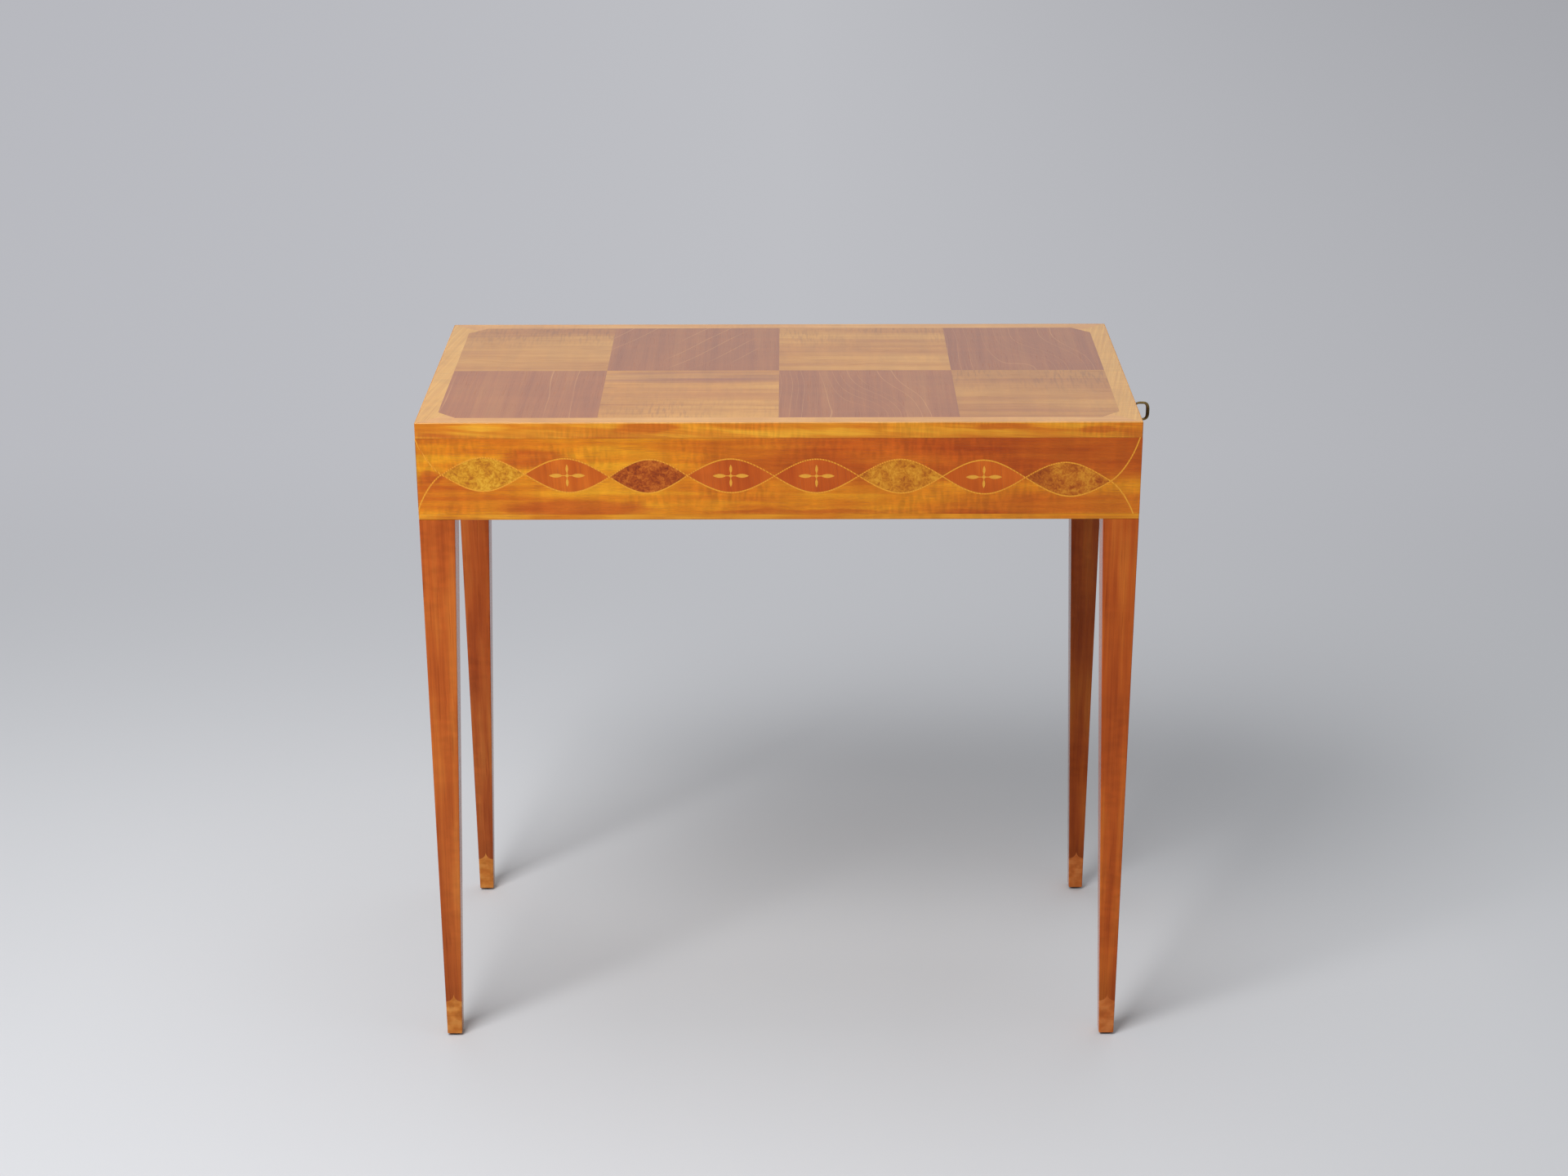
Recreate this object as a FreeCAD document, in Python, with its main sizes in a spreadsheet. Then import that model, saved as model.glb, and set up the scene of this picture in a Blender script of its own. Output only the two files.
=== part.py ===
# Chess table: an inlaid top on four tapered legs, with one drawer in its right-hand end.
# X runs along the table, -Y is its front, +Z is up, and the floor is at Z = 0. All sizes are in millimetres.
import FreeCAD, Part
import math
import os
import re

import Sketcher
from FreeCAD import Placement, Rotation, Vector

os.makedirs("parts", exist_ok=True)
doc = FreeCAD.newDocument("chess_table")
sheet = doc.addObject("Spreadsheet::Sheet", "Sizes")

# Sizes that can be set by themselves.
driving = [
    ("top_length", 800),  # the whole top, left to right
    ("top_depth", 400),  # the whole top, front to back
    ("table_rise", 768),  # floor to the playing surface
    ("top_thick", 18),  # core and its veneer
    ("veneer", 1),
    ("band_thick", 1.5),  # crossbanding round the top's edge
    ("border_end", 22),  # frame round the squares, at the ends
    ("border_side", 18.5),  # and along the front and back
    ("border_cut", 21),  # slanted inner corner of the frame
    ("rail_core", 21),  # rail behind its veneer
    ("field_height", 88.5),  # veneered height of the rails
    ("strip_height", 6.5),  # moulding strip under the rails
    ("tongue_thick", 8),
    ("tongue_deep", 8),
    ("leg_top", 40),
    ("leg_foot", 17.5),
    ("foot_inset", 2),  # how far the leg's outer faces lean in
    ("shoe_rise", 43.5),  # light shoe on the leg, at its corners
    ("shoe_tip", 9),  # its pointed middle above that
    ("shoe_thick", 0.8),
    ("glide_radius", 7),
    ("glide_height", 3),
    ("glide_round", 1),  # slant round the glide's sole
    ("glide_nail", 1),  # radius of the glide's nail
    ("nail_length", 12),
    ("panel_thick", 5),
    ("runner_thick", 7),
    ("runner_wide", 32),
    ("guide_rise", 20),
    ("kicker_thick", 8),
    ("kicker_wide", 32),
    ("bearer_thick", 20),
    ("screw_radius", 2),
    ("screw_head", 4),  # radius of the head
    ("head_deep", 2.4),
    ("top_screw_length", 20),
    ("top_screw_inset", 40),  # outer screws from the legs' posts
    ("leg_screw_length", 30),
    ("leg_screw_low", 24),  # above the rail's lower edge
    ("leg_screw_pitch", 40),
    ("chain_margin", 30.6),  # a chain's last crossing to the corner
    ("wave_count", 8),
    ("wave_shift", 2.6),  # the front chain sits this far to the left
    ("end_count", 4),
    ("wave_swell", 19.6),  # half the height of a lens, to the string's middle
    ("string_wide", 1.5),
    ("flare_reach", 31),  # where a string runs out at the corner
    ("flare_rise", 53),
    ("petal_start", 5),
    ("petal_long", 20),  # tip of the long petals from the middle
    ("petal_short", 13),
    ("petal_swell", 3),
    ("stem_wide", 0.8),
    ("dot_radius", 1.8),
    ("front_gap", 0.3),  # drawer front to what it closes on
    ("edge_gap", 0.6),  # round the drawer front
    ("side_gap", 2),  # drawer side to the legs' posts
    ("run_gap", 0.2),  # drawer side above its runner
    ("kick_gap", 1),
    ("guide_gap", 0.5),
    ("drawer_length", 430),
    ("drawer_side", 10),
    ("drawer_back", 10),
    ("drawer_ply", 4),
    ("ply_rise", 6),  # drawer bottom above the sides' lower edge
    ("groove_deep", 5),
    ("dado_deep", 4),
    ("back_drop", 4),  # drawer back below the sides' upper edge
    ("tail_long", 12),
    ("tail_wide", 16),
    ("tail_flare", 2),
    ("tail_count", 3),
    ("divider_thick", 6),
    ("divider_drop", 10),
    ("key_drop", 50),  # key's axis below the playing surface
    ("key_reach", 33),  # how far the key stands out
    ("key_radius", 2.3),
    ("key_fit", 0.08),
    ("key_end", 2.2),  # key's end from the back of the drawer front
    ("bit_long", 4),
    ("bit_reach", 6),
    ("bit_thick", 2.4),
    ("bow_wide", 19),
    ("bow_tall", 23),
    ("bow_thick", 3),
    ("bow_arm", 2.8),
    ("bow_edge", 4.2),
    ("bow_round", 8),
    ("bow_hole_round", 3.4),
    ("collar_radius", 3.6),
    ("collar_long", 3),
    ("hole_radius", 3.2),
    ("slot_wide", 3.2),
    ("slot_deep", 7),
    ("plate_radius", 9),
    ("plate_thick", 0.8),
    ("plate_drop", 14),
    ("lock_wide", 44),
    ("flange_wide", 66),
    ("lock_tall", 48),
    ("lock_deep", 9),
    ("lock_wall", 1.2),
    ("bolt_wide", 13),
    ("bolt_thick", 3.5),
    ("bolt_frame", 20),
    ("bolt_window", 14),
    ("window_up", 3),
    ("window_down", 10),
    ("bolt_bridge", 3),
    ("bolt_fit", 0.2),
    ("bolt_gap", 1.3),  # lock flange to the bolt
    ("lock_screw_radius", 1.2),
    ("lock_screw_head", 2.4),
    ("lock_screw_length", 10),
    ("lock_screw_pitch", 36),
    ("strike_wide", 34),
    ("strike_long", 14),
    ("strike_thick", 1.2),
    ("strike_fit", 1),
    ("mortise_deep", 8.5),
]

# Sizes that follow from those.
derived = [
    ("case_left", "-(top_length + key_reach) / 2"),
    ("case_right", "case_left + top_length"),
    ("case_mid", "case_left + top_length / 2"),
    ("half_depth", "top_depth / 2"),
    ("top_under", "table_rise - top_thick"),
    ("core_top", "table_rise - veneer"),
    ("field_bottom", "top_under - field_height"),
    ("case_bottom", "field_bottom - strip_height"),
    ("wall", "veneer + rail_core"),
    ("inner_left", "case_left + wall"),
    ("inner_right", "case_right - wall"),
    ("inner_depth", "half_depth - wall"),
    ("post_left", "case_left + leg_top"),
    ("post_right", "case_right - leg_top"),
    ("post_depth", "half_depth - leg_top"),
    ("square", "top_length / 4"),
    ("wave_pitch", "(top_length - 2 * chain_margin) / wave_count"),
    ("end_pitch", "(top_depth - 2 * chain_margin) / end_count"),
    ("panel_top", "case_bottom + panel_thick"),
    ("run_level", "panel_top + runner_thick"),
    ("kicker_under", "top_under - kicker_thick"),
    ("front_inner", "inner_right + front_gap"),
    ("front_half", "inner_depth - edge_gap"),
    ("front_low", "field_bottom + edge_gap"),
    ("front_high", "top_under - edge_gap"),
    ("drawer_half", "post_depth - side_gap"),
    ("drawer_inner", "drawer_half - drawer_side"),
    ("drawer_low", "run_level + run_gap"),
    ("drawer_high", "kicker_under - kick_gap"),
    ("drawer_rear", "front_inner - drawer_length"),
    ("ply_low", "drawer_low + ply_rise"),
    ("ply_high", "ply_low + drawer_ply"),
    ("bearer_right", "drawer_rear - wall"),
    ("key_level", "table_rise - key_drop"),
    ("bolt_inner", "front_inner + bolt_gap + lock_wall"),
    ("bolt_mid", "bolt_inner + bolt_thick / 2"),
    ("key_inner", "front_inner + key_end"),
    ("bow_inner", "case_right + key_reach - bow_wide"),
]

for row, (name, amount) in enumerate(driving + derived, start=1):
    sheet.set(f"A{row}", name)
    sheet.set(f"B{row}", f"={amount}" if isinstance(amount, str) else str(amount))
    sheet.setAlias(f"B{row}", name)
doc.recompute()

alias = re.compile(r"\b(" + "|".join(name for name, _ in driving + derived) + r")\b")
nodes = []


def value(words):
    return float(sheet.evalExpression(str(words)))


def bind(item, prop, words):
    item.setExpression(prop, alias.sub(r"Sizes.\1", str(words)))


def node(item, label):
    """A finished sub-part: its label is its file's name."""
    item.Label = label
    nodes.append(item)
    return item


def inward(axis, side, near, far):
    """The stretch from near to far, measured inwards from the case's outer face on one side."""
    edge = {"x": ("case_left", "case_right"), "y": ("-half_depth", "half_depth")}[axis][side > 0]
    if side < 0:
        return f"{edge} + ({near})", f"{edge} + ({far})"
    return f"{edge} - ({far})", f"{edge} - ({near})"


def middle(axis, side, near, far):
    low, high = inward(axis, side, near, far)
    return f"({low} + {high}) / 2"


def both(half):
    return f"-({half})", f"{half}"


def box(name, x, y, z):
    item = doc.addObject("Part::Box", name)
    for prop, axis, (low, high) in zip(("Length", "Width", "Height"), "xyz", (x, y, z)):
        bind(item, prop, f"({high}) - ({low})")
        bind(item, f"Placement.Base.{axis}", low)
    return item


def stand(item, at, way):
    """Puts a round piece at a point, with its own Z turned to a direction."""
    item.Placement = Placement(Vector(), Rotation(Vector(0, 0, 1), Vector(*way)))
    for axis, words in zip("xyz", at):
        bind(item, f"Placement.Base.{axis}", words)
    return item


def cylinder(name, radius, length, at, way=(0, 0, 1)):
    item = doc.addObject("Part::Cylinder", name)
    bind(item, "Radius", radius)
    bind(item, "Height", length)
    return stand(item, at, way)


def join(name, items):
    item = doc.addObject("Part::MultiFuse", name)
    item.Shapes = items
    return item


def group(name, items):
    item = doc.addObject("Part::Compound", name)
    item.Links = items
    return item


def cut(name, base, *tools):
    item = doc.addObject("Part::Cut", name)
    item.Base = base
    item.Tool = tools[0] if len(tools) == 1 else group(f"{name}_cutters", list(tools))
    return item


def screw(name, radius, head, length, at, way):
    """Countersunk screw, its head flush at the point and its shank along the direction."""
    cone = doc.addObject("Part::Cone", f"{name}_head")
    bind(cone, "Radius1", head)
    bind(cone, "Radius2", radius)
    bind(cone, "Height", "head_deep")
    shank = cylinder(f"{name}_shank", radius, length, at, way)
    return join(name, [stand(cone, at, way), shank])


def outline(body, role, points):
    """Closed polygon on one of the body's own planes, every corner held by two dimensions."""
    sketch = body.newObject("Sketcher::SketchObject", f"{body.Name}_outline")
    plane = next(p for p in body.Origin.OriginFeatures if p.Role == role)
    sketch.AttachmentSupport = (plane, "")
    sketch.MapMode = "FlatFace"
    spots = [Vector(value(u), value(v), 0) for u, v in points]
    for here, there in zip(spots, spots[1:] + spots[:1]):
        sketch.addGeometry(Part.LineSegment(here, there), False)
    for i, (words, spot) in enumerate(zip(points, spots)):
        sketch.addConstraint(Sketcher.Constraint("Coincident", i - 1 if i else len(spots) - 1, 2, i, 1))
        for kind, size, text in zip(("DistanceX", "DistanceY"), spot, words):
            held = sketch.addConstraint(Sketcher.Constraint(kind, -1, 1, i, 1, size))
            bind(sketch, f"Constraints[{held}]", text)
    return sketch


def pad(name, role, axis, points, low, high):
    """Plate of a polygon's outline, from low to high along the third axis."""
    body = doc.addObject("PartDesign::Body", name)
    item = body.newObject("PartDesign::Pad", f"{name}_pad")
    item.Profile = outline(body, role, points)
    bind(item, "Length", f"({high}) - ({low})")
    bind(body, f"Placement.Base.{axis}", low)
    return body


def slab(name, points, low, high):
    return pad(name, "XY_Plane", "z", points, low, high)


def bar(name, points, low, high):
    return pad(name, "YZ_Plane", "x", points, low, high)


def panel(name, points, low, high):
    """Plate whose outline is seen from the front; the pad grows towards -Y, so it starts at its far face."""
    body = pad(name, "XZ_Plane", "y", points, low, high)
    bind(body, "Placement.Base.y", high)
    return body


def turned(name, points, at):
    """Turned piece: a half outline of radius and height, spun about Z."""
    body = doc.addObject("PartDesign::Body", name)
    sketch = outline(body, "XZ_Plane", points)
    spin = body.newObject("PartDesign::Revolution", f"{name}_spin")
    spin.Profile = sketch
    spin.ReferenceAxis = (sketch, ["V_Axis"])
    spin.Angle = 360
    for axis, words in zip("xyz", at):
        bind(body, f"Placement.Base.{axis}", words)
    return body


def feature(name, shape):
    item = doc.addObject("Part::Feature", name)
    item.Shape = shape
    return item


corners = {"front_left": (-1, -1), "front_right": (1, -1), "back_left": (-1, 1), "back_right": (1, 1)}
sides = {"front": -1, "back": 1}

# Fasteners come first, because the pieces they hold are drilled with them.
top_screws = []
for side_name, side in sides.items():
    row_y = middle("y", side, "wall", "wall + kicker_wide")
    run = "(post_right - post_left - 2 * top_screw_inset) / 3"
    for step in range(4):
        at = (f"post_left + top_screw_inset + {step} * {run}", row_y, "kicker_under")
        name = f"top_screw_{side_name}_{step}"
        top_screws.append(screw(name, "screw_radius", "screw_head", "top_screw_length", at, (0, 0, 1)))
top_screws = node(group("top_screws", top_screws), "top_screws")

leg_screws = []
for place, (end, side) in corners.items():
    middle_x = middle("x", end, "wall", "leg_top")
    for step in range(2):
        at = (middle_x, f"{side} * post_depth", f"field_bottom + leg_screw_low + {step} * leg_screw_pitch")
        name = f"leg_screw_{place}_{step}"
        leg_screws.append(screw(name, "screw_radius", "screw_head", "leg_screw_length", at, (0, side, 0)))
leg_screws = node(group("leg_screws", leg_screws), "leg_screws")


# Legs: a tapered square leg with a post that rises inside the case's corner, a shoe and a glide.
def leg_square(z, end, side):
    """The leg's outline at a height, as x and y limits."""
    share = (value("case_bottom") - z) / value("case_bottom - glide_height")
    limits = []
    for axis, way in (("x", end), ("y", side)):
        near = value("foot_inset") * share
        far = value("leg_top") + (value("foot_inset + leg_foot") - value("leg_top")) * share
        limits.append([value(words) for words in inward(axis, way, near, far)])
    return limits


def ring_corners(z, end, side, inset):
    (x0, x1), (y0, y1) = leg_square(z, end, side)
    x0, x1, y0, y1 = x0 + inset, x1 - inset, y0 + inset, y1 - inset
    return [Vector(x0, y0, z), Vector(x1, y0, z), Vector(x1, y1, z), Vector(x0, y1, z)]


def shoe(end, side):
    """Four mitred veneers round the foot. Each upper edge is two hollow curves that meet in a point."""
    low, shoulder = value("glide_height"), value("glide_height + shoe_rise")
    tip, thick = value("glide_height + shoe_rise + shoe_tip"), value("shoe_thick")
    faces = []
    for k in range(4):
        rings = []
        for z in (low, tip):
            outer, inner = ring_corners(z, end, side, 0), ring_corners(z, end, side, thick)
            four = [outer[k], outer[(k + 1) % 4], inner[(k + 1) % 4], inner[k]]
            rings.append(Part.makePolygon(four + four[:1]))
        strip = Part.makeLoft(rings, True, True)
        shoulders = ring_corners(shoulder, end, side, 0)
        start, stop = shoulders[k], shoulders[(k + 1) % 4]
        centre, half = (start + stop) * 0.5, (stop - start).Length / 2
        along, up = (stop - start).normalize(), Vector(0, 0, 1)
        wide, rise = half * 1.5, tip - shoulder

        def spot(u, lift):
            return centre + along * u + up * lift

        hollow = []
        for way in (-1, 1):
            side_curve = Part.BezierCurve()
            side_curve.setPoles([spot(way * half, 0), spot(way * half * 0.15, rise * 0.1), spot(0, rise)])
            hollow.append(side_curve.toShape())
        frame = [spot(half, 0), spot(wide, 0), spot(wide, low - shoulder - 1),
                 spot(-wide, low - shoulder - 1), spot(-wide, 0), spot(-half, 0)]
        edges = hollow + [Part.LineSegment(a, b).toShape() for a, b in zip(frame, frame[1:])]
        face = Part.Face(Part.Wire(Part.sortEdges(edges)[0]))
        out = along.cross(up) * value("leg_top")
        prism = face.translated(out * -1).extrude(out * 2)
        faces += strip.common(prism).Solids
    return faces


shoes, glides = [], []
for place, (end, side) in corners.items():
    shoes += shoe(end, side)
    ways = (("x", end), ("y", side))
    foot = [middle(axis, way, "foot_inset", "foot_inset + leg_foot") for axis, way in ways]
    half_round = [("0", "0"), ("glide_radius - glide_round", "0"), ("glide_radius", "glide_round"),
                  ("glide_radius", "glide_height"), ("glide_nail", "glide_height"),
                  ("glide_nail", "glide_height + nail_length"), ("0", "glide_height + nail_length")]
    glides.append(turned(f"glide_{place}", half_round, (*foot, "0")))
shoes = node(feature("leg_shoes", Part.makeCompound(shoes)), "leg_shoes")
glides = node(group("leg_glides", glides), "leg_glides")

for place, (end, side) in corners.items():
    taper = doc.addObject("Part::Wedge", f"taper_{place}")
    foot_y, top_y = inward("y", side, "foot_inset", "foot_inset + leg_foot"), inward("y", side, "0", "leg_top")
    limits = {
        "X": inward("x", end, "foot_inset", "foot_inset + leg_foot"),
        "X2": inward("x", end, "0", "leg_top"),
        "Y": ("glide_height", "case_bottom"),
        "Z": [f"-({words})" for words in foot_y[::-1]],
        "Z2": [f"-({words})" for words in top_y[::-1]],
    }
    for prop, (low, high) in limits.items():
        bind(taper, f"{prop}min", low)
        bind(taper, f"{prop}max", high)
    taper.Placement = Placement(Vector(), Rotation(Vector(1, 0, 0), 90))
    post = box(f"post_{place}", inward("x", end, "wall", "leg_top"), inward("y", side, "wall", "leg_top"),
               ("case_bottom", "top_under"))
    whole = join(f"whole_leg_{place}", [taper, post])
    node(cut(f"leg_{place}", whole, shoes, glides, leg_screws), f"leg_{place}")


# Case: rails, the strips under them, a thin bottom and the drawer's bearers.
rail_z = ("field_bottom", "top_under")
end_rail = join("end_rail", [
    box("end_rail_board", inward("x", -1, "veneer", "wall"), both("inner_depth"), rail_z),
    box("end_rail_tongue", inward("x", -1, "wall - tongue_thick", "wall"), both("inner_depth + tongue_deep"),
        rail_z),
])
node(end_rail, "left_end_rail")
for side_name, side in sides.items():
    rail = box(f"{side_name}_board", ("case_left + veneer", "case_right - veneer"),
               inward("y", side, "veneer", "wall"), rail_z)
    node(cut(f"{side_name}_rail", rail, end_rail, leg_screws), f"{side_name}_rail")

strip_x = [("case_left", "inner_left"), ("case_right", "inner_right")]
strip_z = ("case_bottom", "field_bottom")
for side_name, side in sides.items():
    points = [("case_left", f"{side} * half_depth"), ("case_right", f"{side} * half_depth"),
              ("inner_right", f"{side} * inner_depth"), ("inner_left", f"{side} * inner_depth")]
    node(slab(f"strip_{side_name}", points, *strip_z), f"strip_{side_name}")
for end_name, (outer, inner) in zip(("left", "right"), strip_x):
    points = [(outer, "-half_depth"), (inner, "-inner_depth"), (inner, "inner_depth"), (outer, "half_depth")]
    node(slab(f"strip_{end_name}", points, *strip_z), f"strip_{end_name}")

notched = []
for end, side in ((-1, -1), (1, -1), (1, 1), (-1, 1)):
    wall_x, post_x = ("inner_left", "post_left") if end < 0 else ("inner_right", "post_right")
    post_y, wall_y = f"{side} * post_depth", f"{side} * inner_depth"
    notch = [(wall_x, post_y), (post_x, post_y), (post_x, wall_y)]
    notched += notch if end * side > 0 else notch[::-1]
node(slab("bottom_panel", notched, "case_bottom", "panel_top"), "bottom_panel")

kickers = []
for side_name, side in sides.items():
    strip = box(f"kicker_{side_name}", ("post_left", "post_right"),
                inward("y", side, "wall", "wall + kicker_wide"), ("kicker_under", "top_under"))
    kickers.append(cut(f"drilled_kicker_{side_name}", strip, top_screws))
kickers = node(group("kickers", kickers), "kickers")
bearer = box("bearer_board", ("bearer_right - bearer_thick", "bearer_right"), both("inner_depth"),
             ("panel_top", "top_under"))
notches = [box(f"bearer_notch_{side_name}", ("bearer_right - bearer_thick", "bearer_right"),
               inward("y", side, "wall", "wall + kicker_wide"), ("kicker_under", "top_under"))
           for side_name, side in sides.items()]
node(cut("cross_bearer", bearer, *notches), "cross_bearer")

for side_name, side in sides.items():
    near, guide = f"{side} * inner_depth", f"{side} * (drawer_half + guide_gap)"
    edge = f"{side} * (inner_depth - runner_wide)"
    profile = [(near, "panel_top"), (near, "run_level + guide_rise"), (guide, "run_level + guide_rise"),
               (guide, "run_level"), (edge, "run_level"), (edge, "panel_top")]
    node(bar(f"runner_{side_name}", profile, "bearer_right", "post_right"), f"runner_{side_name}")
node(box("drawer_rail", ("post_right", "inner_right"), both("post_depth"), ("panel_top", "run_level")),
     "drawer_rail")


# Top: a core with a crossbanded edge, eight squares and a mitred frame.
strike_x = ("bolt_mid - strike_long / 2", "bolt_mid + strike_long / 2")
strike_y = both("strike_wide / 2")
slot_x = ("bolt_mid - bolt_thick / 2 - strike_fit", "bolt_mid + bolt_thick / 2 + strike_fit")
slot_y = both("bolt_wide / 2 + strike_fit")
strike_z = ("top_under", "top_under + strike_thick")
core = box("core_board", ("case_left + band_thick", "case_right - band_thick"),
           both("half_depth - band_thick"), ("top_under", "core_top"))
recess = box("strike_recess", strike_x, strike_y, strike_z)
mortise = box("bolt_mortise", slot_x, slot_y, ("top_under", "top_under + mortise_deep"))
node(cut("top_core", core, recess, mortise, top_screws), "top_core")
plate = box("strike_blank", strike_x, strike_y, strike_z)
node(cut("strike_plate", plate, box("strike_slot", slot_x, slot_y, strike_z)), "strike_plate")


def frame_corner(end, side, from_end, from_side):
    """A corner of the top, measured inwards from its end and from its side."""
    x = f"case_left + ({from_end})" if end < 0 else f"case_right - ({from_end})"
    return x, f"{side} * (half_depth - ({from_side}))"


ring = ("band_thick", "band_thick")
mitre = ("border_end + border_cut / 2", "border_side + border_cut / 2")
for side_name, side in sides.items():
    outer = [frame_corner(-1, side, "0", "0"), frame_corner(1, side, "0", "0")]
    inner = [frame_corner(1, side, *ring), frame_corner(-1, side, *ring)]
    node(slab(f"edge_band_{side_name}", outer + inner, "top_under", "table_rise"), f"edge_band_{side_name}")
    slant = ("border_end + border_cut", "border_side")
    points = [frame_corner(-1, side, *ring), frame_corner(1, side, *ring), frame_corner(1, side, *mitre),
              frame_corner(1, side, *slant), frame_corner(-1, side, *slant), frame_corner(-1, side, *mitre)]
    node(slab(f"border_{side_name}", points, "core_top", "table_rise"), f"border_{side_name}")
for end_name, end in (("left", -1), ("right", 1)):
    outer = [frame_corner(end, -1, "0", "0"), frame_corner(end, 1, "0", "0")]
    inner = [frame_corner(end, 1, *ring), frame_corner(end, -1, *ring)]
    node(slab(f"edge_band_{end_name}", outer + inner, "top_under", "table_rise"), f"edge_band_{end_name}")
    slant = ("border_end", "border_side + border_cut")
    points = [frame_corner(end, -1, *ring), frame_corner(end, 1, *ring), frame_corner(end, 1, *mitre),
              frame_corner(end, 1, *slant), frame_corner(end, -1, *slant), frame_corner(end, -1, *mitre)]
    node(slab(f"border_{end_name}", points, "core_top", "table_rise"), f"border_{end_name}")

squares = {"light": [], "dark": []}
for column in range(4):
    left = "case_left + border_end" if column == 0 else f"case_left + {column} * square"
    right = "case_right - border_end" if column == 3 else f"case_left + {column + 1} * square"
    for side_name, side in sides.items():
        edge = f"{side} * (half_depth - border_side)"
        slant = f"{side} * (half_depth - border_side - border_cut)"
        points = [(left, "0"), (right, "0"), (right, edge), (left, edge)]
        if column == 0:
            points[3:] = [("case_left + border_end + border_cut", edge), (left, slant)]
        if column == 3:
            points[2:3] = [(right, slant), ("case_right - border_end - border_cut", edge)]
        shade = "light" if (column + (side > 0)) % 2 else "dark"
        squares[shade].append(slab(f"square_{side_name}_{column}", points, "core_top", "table_rise"))
for shade, pieces in squares.items():
    node(group(f"{shade}_squares", pieces), f"{shade}_squares")


# Inlay: two strings cross in a chain of lenses on each rail.
# In these functions X runs along the rail and Z up it.
def curve(poles):
    item = Part.BezierCurve()
    item.setPoles([Vector(x, 0, z) for x, z in poles])
    return item.toShape()


def half_wave(start, stop, swell):
    """One half wave, as a cubic curve with a sine's slope at its ends and its height in the middle."""
    reach, rise = (stop.x - start.x) * 4 / (3 * math.pi), swell * 4 / 3
    return curve([(start.x, start.z), (start.x + reach, start.z + rise), (stop.x - reach, stop.z + rise),
                  (stop.x, stop.z)])


def flare(crossing, way, rise):
    """A string's end beyond the last crossing, steepening towards the corner."""
    x, z = crossing.x, crossing.z
    reach, slope = value("flare_reach"), value("wave_swell") * math.pi / value("wave_pitch")
    first, second = reach * 0.35, reach * 0.78
    top = rise * value("flare_rise")
    return curve([(x, z), (x + way * first, z + rise * first * slope), (x + way * second, z + top * 0.5),
                  (x + way * reach, z + top)])


def band(edges, offset):
    """The face that a line of edges sweeps between one shift and its opposite."""
    low = [edge.translated(offset * -1) for edge in edges]
    high = [edge.translated(offset) for edge in edges]
    ends = []
    for x in (min(e.BoundBox.XMin for e in edges), max(e.BoundBox.XMax for e in edges)):
        tip = min((v.Point for e in edges for v in e.Vertexes), key=lambda p: abs(p.x - x))
        ends.append(Part.LineSegment(tip - offset, tip + offset).toShape())
    return Part.Face(Part.Wire(Part.sortEdges(low + high + ends)[0]))


def string_faces(crossings, first):
    """One string: its long wavy piece, then the two pieces that run out at the corners."""
    swell, half = value("wave_swell"), value("string_wide") / 2
    waves = [half_wave(start, stop, swell * first * (-1) ** k)
             for k, (start, stop) in enumerate(zip(crossings, crossings[1:]))]
    faces = [band(waves, Vector(0, 0, half))]
    slant = Vector(math.sin(math.radians(50)), 0, math.cos(math.radians(50))) * half
    for crossing, way, rise in ((crossings[0], -1, -first), (crossings[-1], 1, first * (-1) ** len(waves))):
        lean = Vector(-slant.x * way * rise, 0, slant.z)
        faces.append(band([flare(crossing, way, rise)], lean))
    return faces


def flower():
    """Four spoon-shaped petals on thin stems round a dot, as one piece of the veneer's thickness."""
    long, half, depth = value("petal_long"), value("stem_wide") / 2, value("veneer")
    turns = ((0, long), (90, value("petal_short")), (180, long), (270, value("petal_short")))
    parts = []
    for turn, length in turns:
        swell, start = value("petal_swell") * length / long, value("petal_start") * length / long
        poles = [(start, 0), (length * 0.45, swell), (length * 0.75, swell), (length, 0)]
        leaf = Part.Face(Part.Wire([curve(poles), curve([(x, -z) for x, z in poles])]))
        stem = Part.makeBox(length * 0.5, depth, 2 * half, Vector(0, 0, -half))
        for piece in (leaf.extrude(Vector(0, depth, 0)), stem):
            piece.rotate(Vector(), Vector(0, 1, 0), turn)
            parts.append(piece)
    dot = Part.makeCylinder(value("dot_radius"), depth, Vector(), Vector(0, 1, 0))
    return dot.fuse(parts).removeSplitter()


def inlaid(length, crossings, crossed):
    """Veneers of one rail, in Y from 0 to their thickness: ground, strings, plain and crossed lenses."""
    tall, near = value("field_height"), value("wave_swell") / 4
    middles = [(start + stop) * 0.5 for start, stop in zip(crossings, crossings[1:])]
    depth = Vector(0, value("veneer"), 0)
    left = Vector(-length / 2, 0, -tall / 2)
    sheet_face = Part.Face(Part.makePolygon([
        left, left + Vector(length, 0, 0), left + Vector(length, 0, tall), left + Vector(0, 0, tall), left]))
    laid = []
    for first in (1, -1):
        for face in string_faces(crossings, first):
            laid.append(face.cut(laid) if laid else face)
    strings = [part for face in laid for part in face.common(sheet_face).Faces]
    pieces = {"ground": [], "string": [face.extrude(depth) for face in strings], "plain": [], "crossed": []}
    for face in sheet_face.cut(laid).Faces:
        centre, solid = face.CenterOfMass, face.extrude(depth)
        lens = [k for k, spot in enumerate(middles) if (spot - centre).Length < near]
        if not lens:
            pieces["ground"].append(solid)
        elif crossed[lens[0]]:
            cross = flower().translated(middles[lens[0]])
            pieces["crossed"] += solid.cut(cross).Solids
            pieces["string"] += cross.Solids
        else:
            pieces["plain"].append(solid)
    level = Vector(0, 0, value("field_bottom") + tall / 2)
    return {kind: [solid.translated(level) for solid in solids] for kind, solids in pieces.items()}


def placed(solids, turn, at):
    spot = Placement(Vector(*at), Rotation(Vector(0, 0, 1), turn))
    return [solid.transformed(spot.toMatrix()) for solid in solids]


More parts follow.
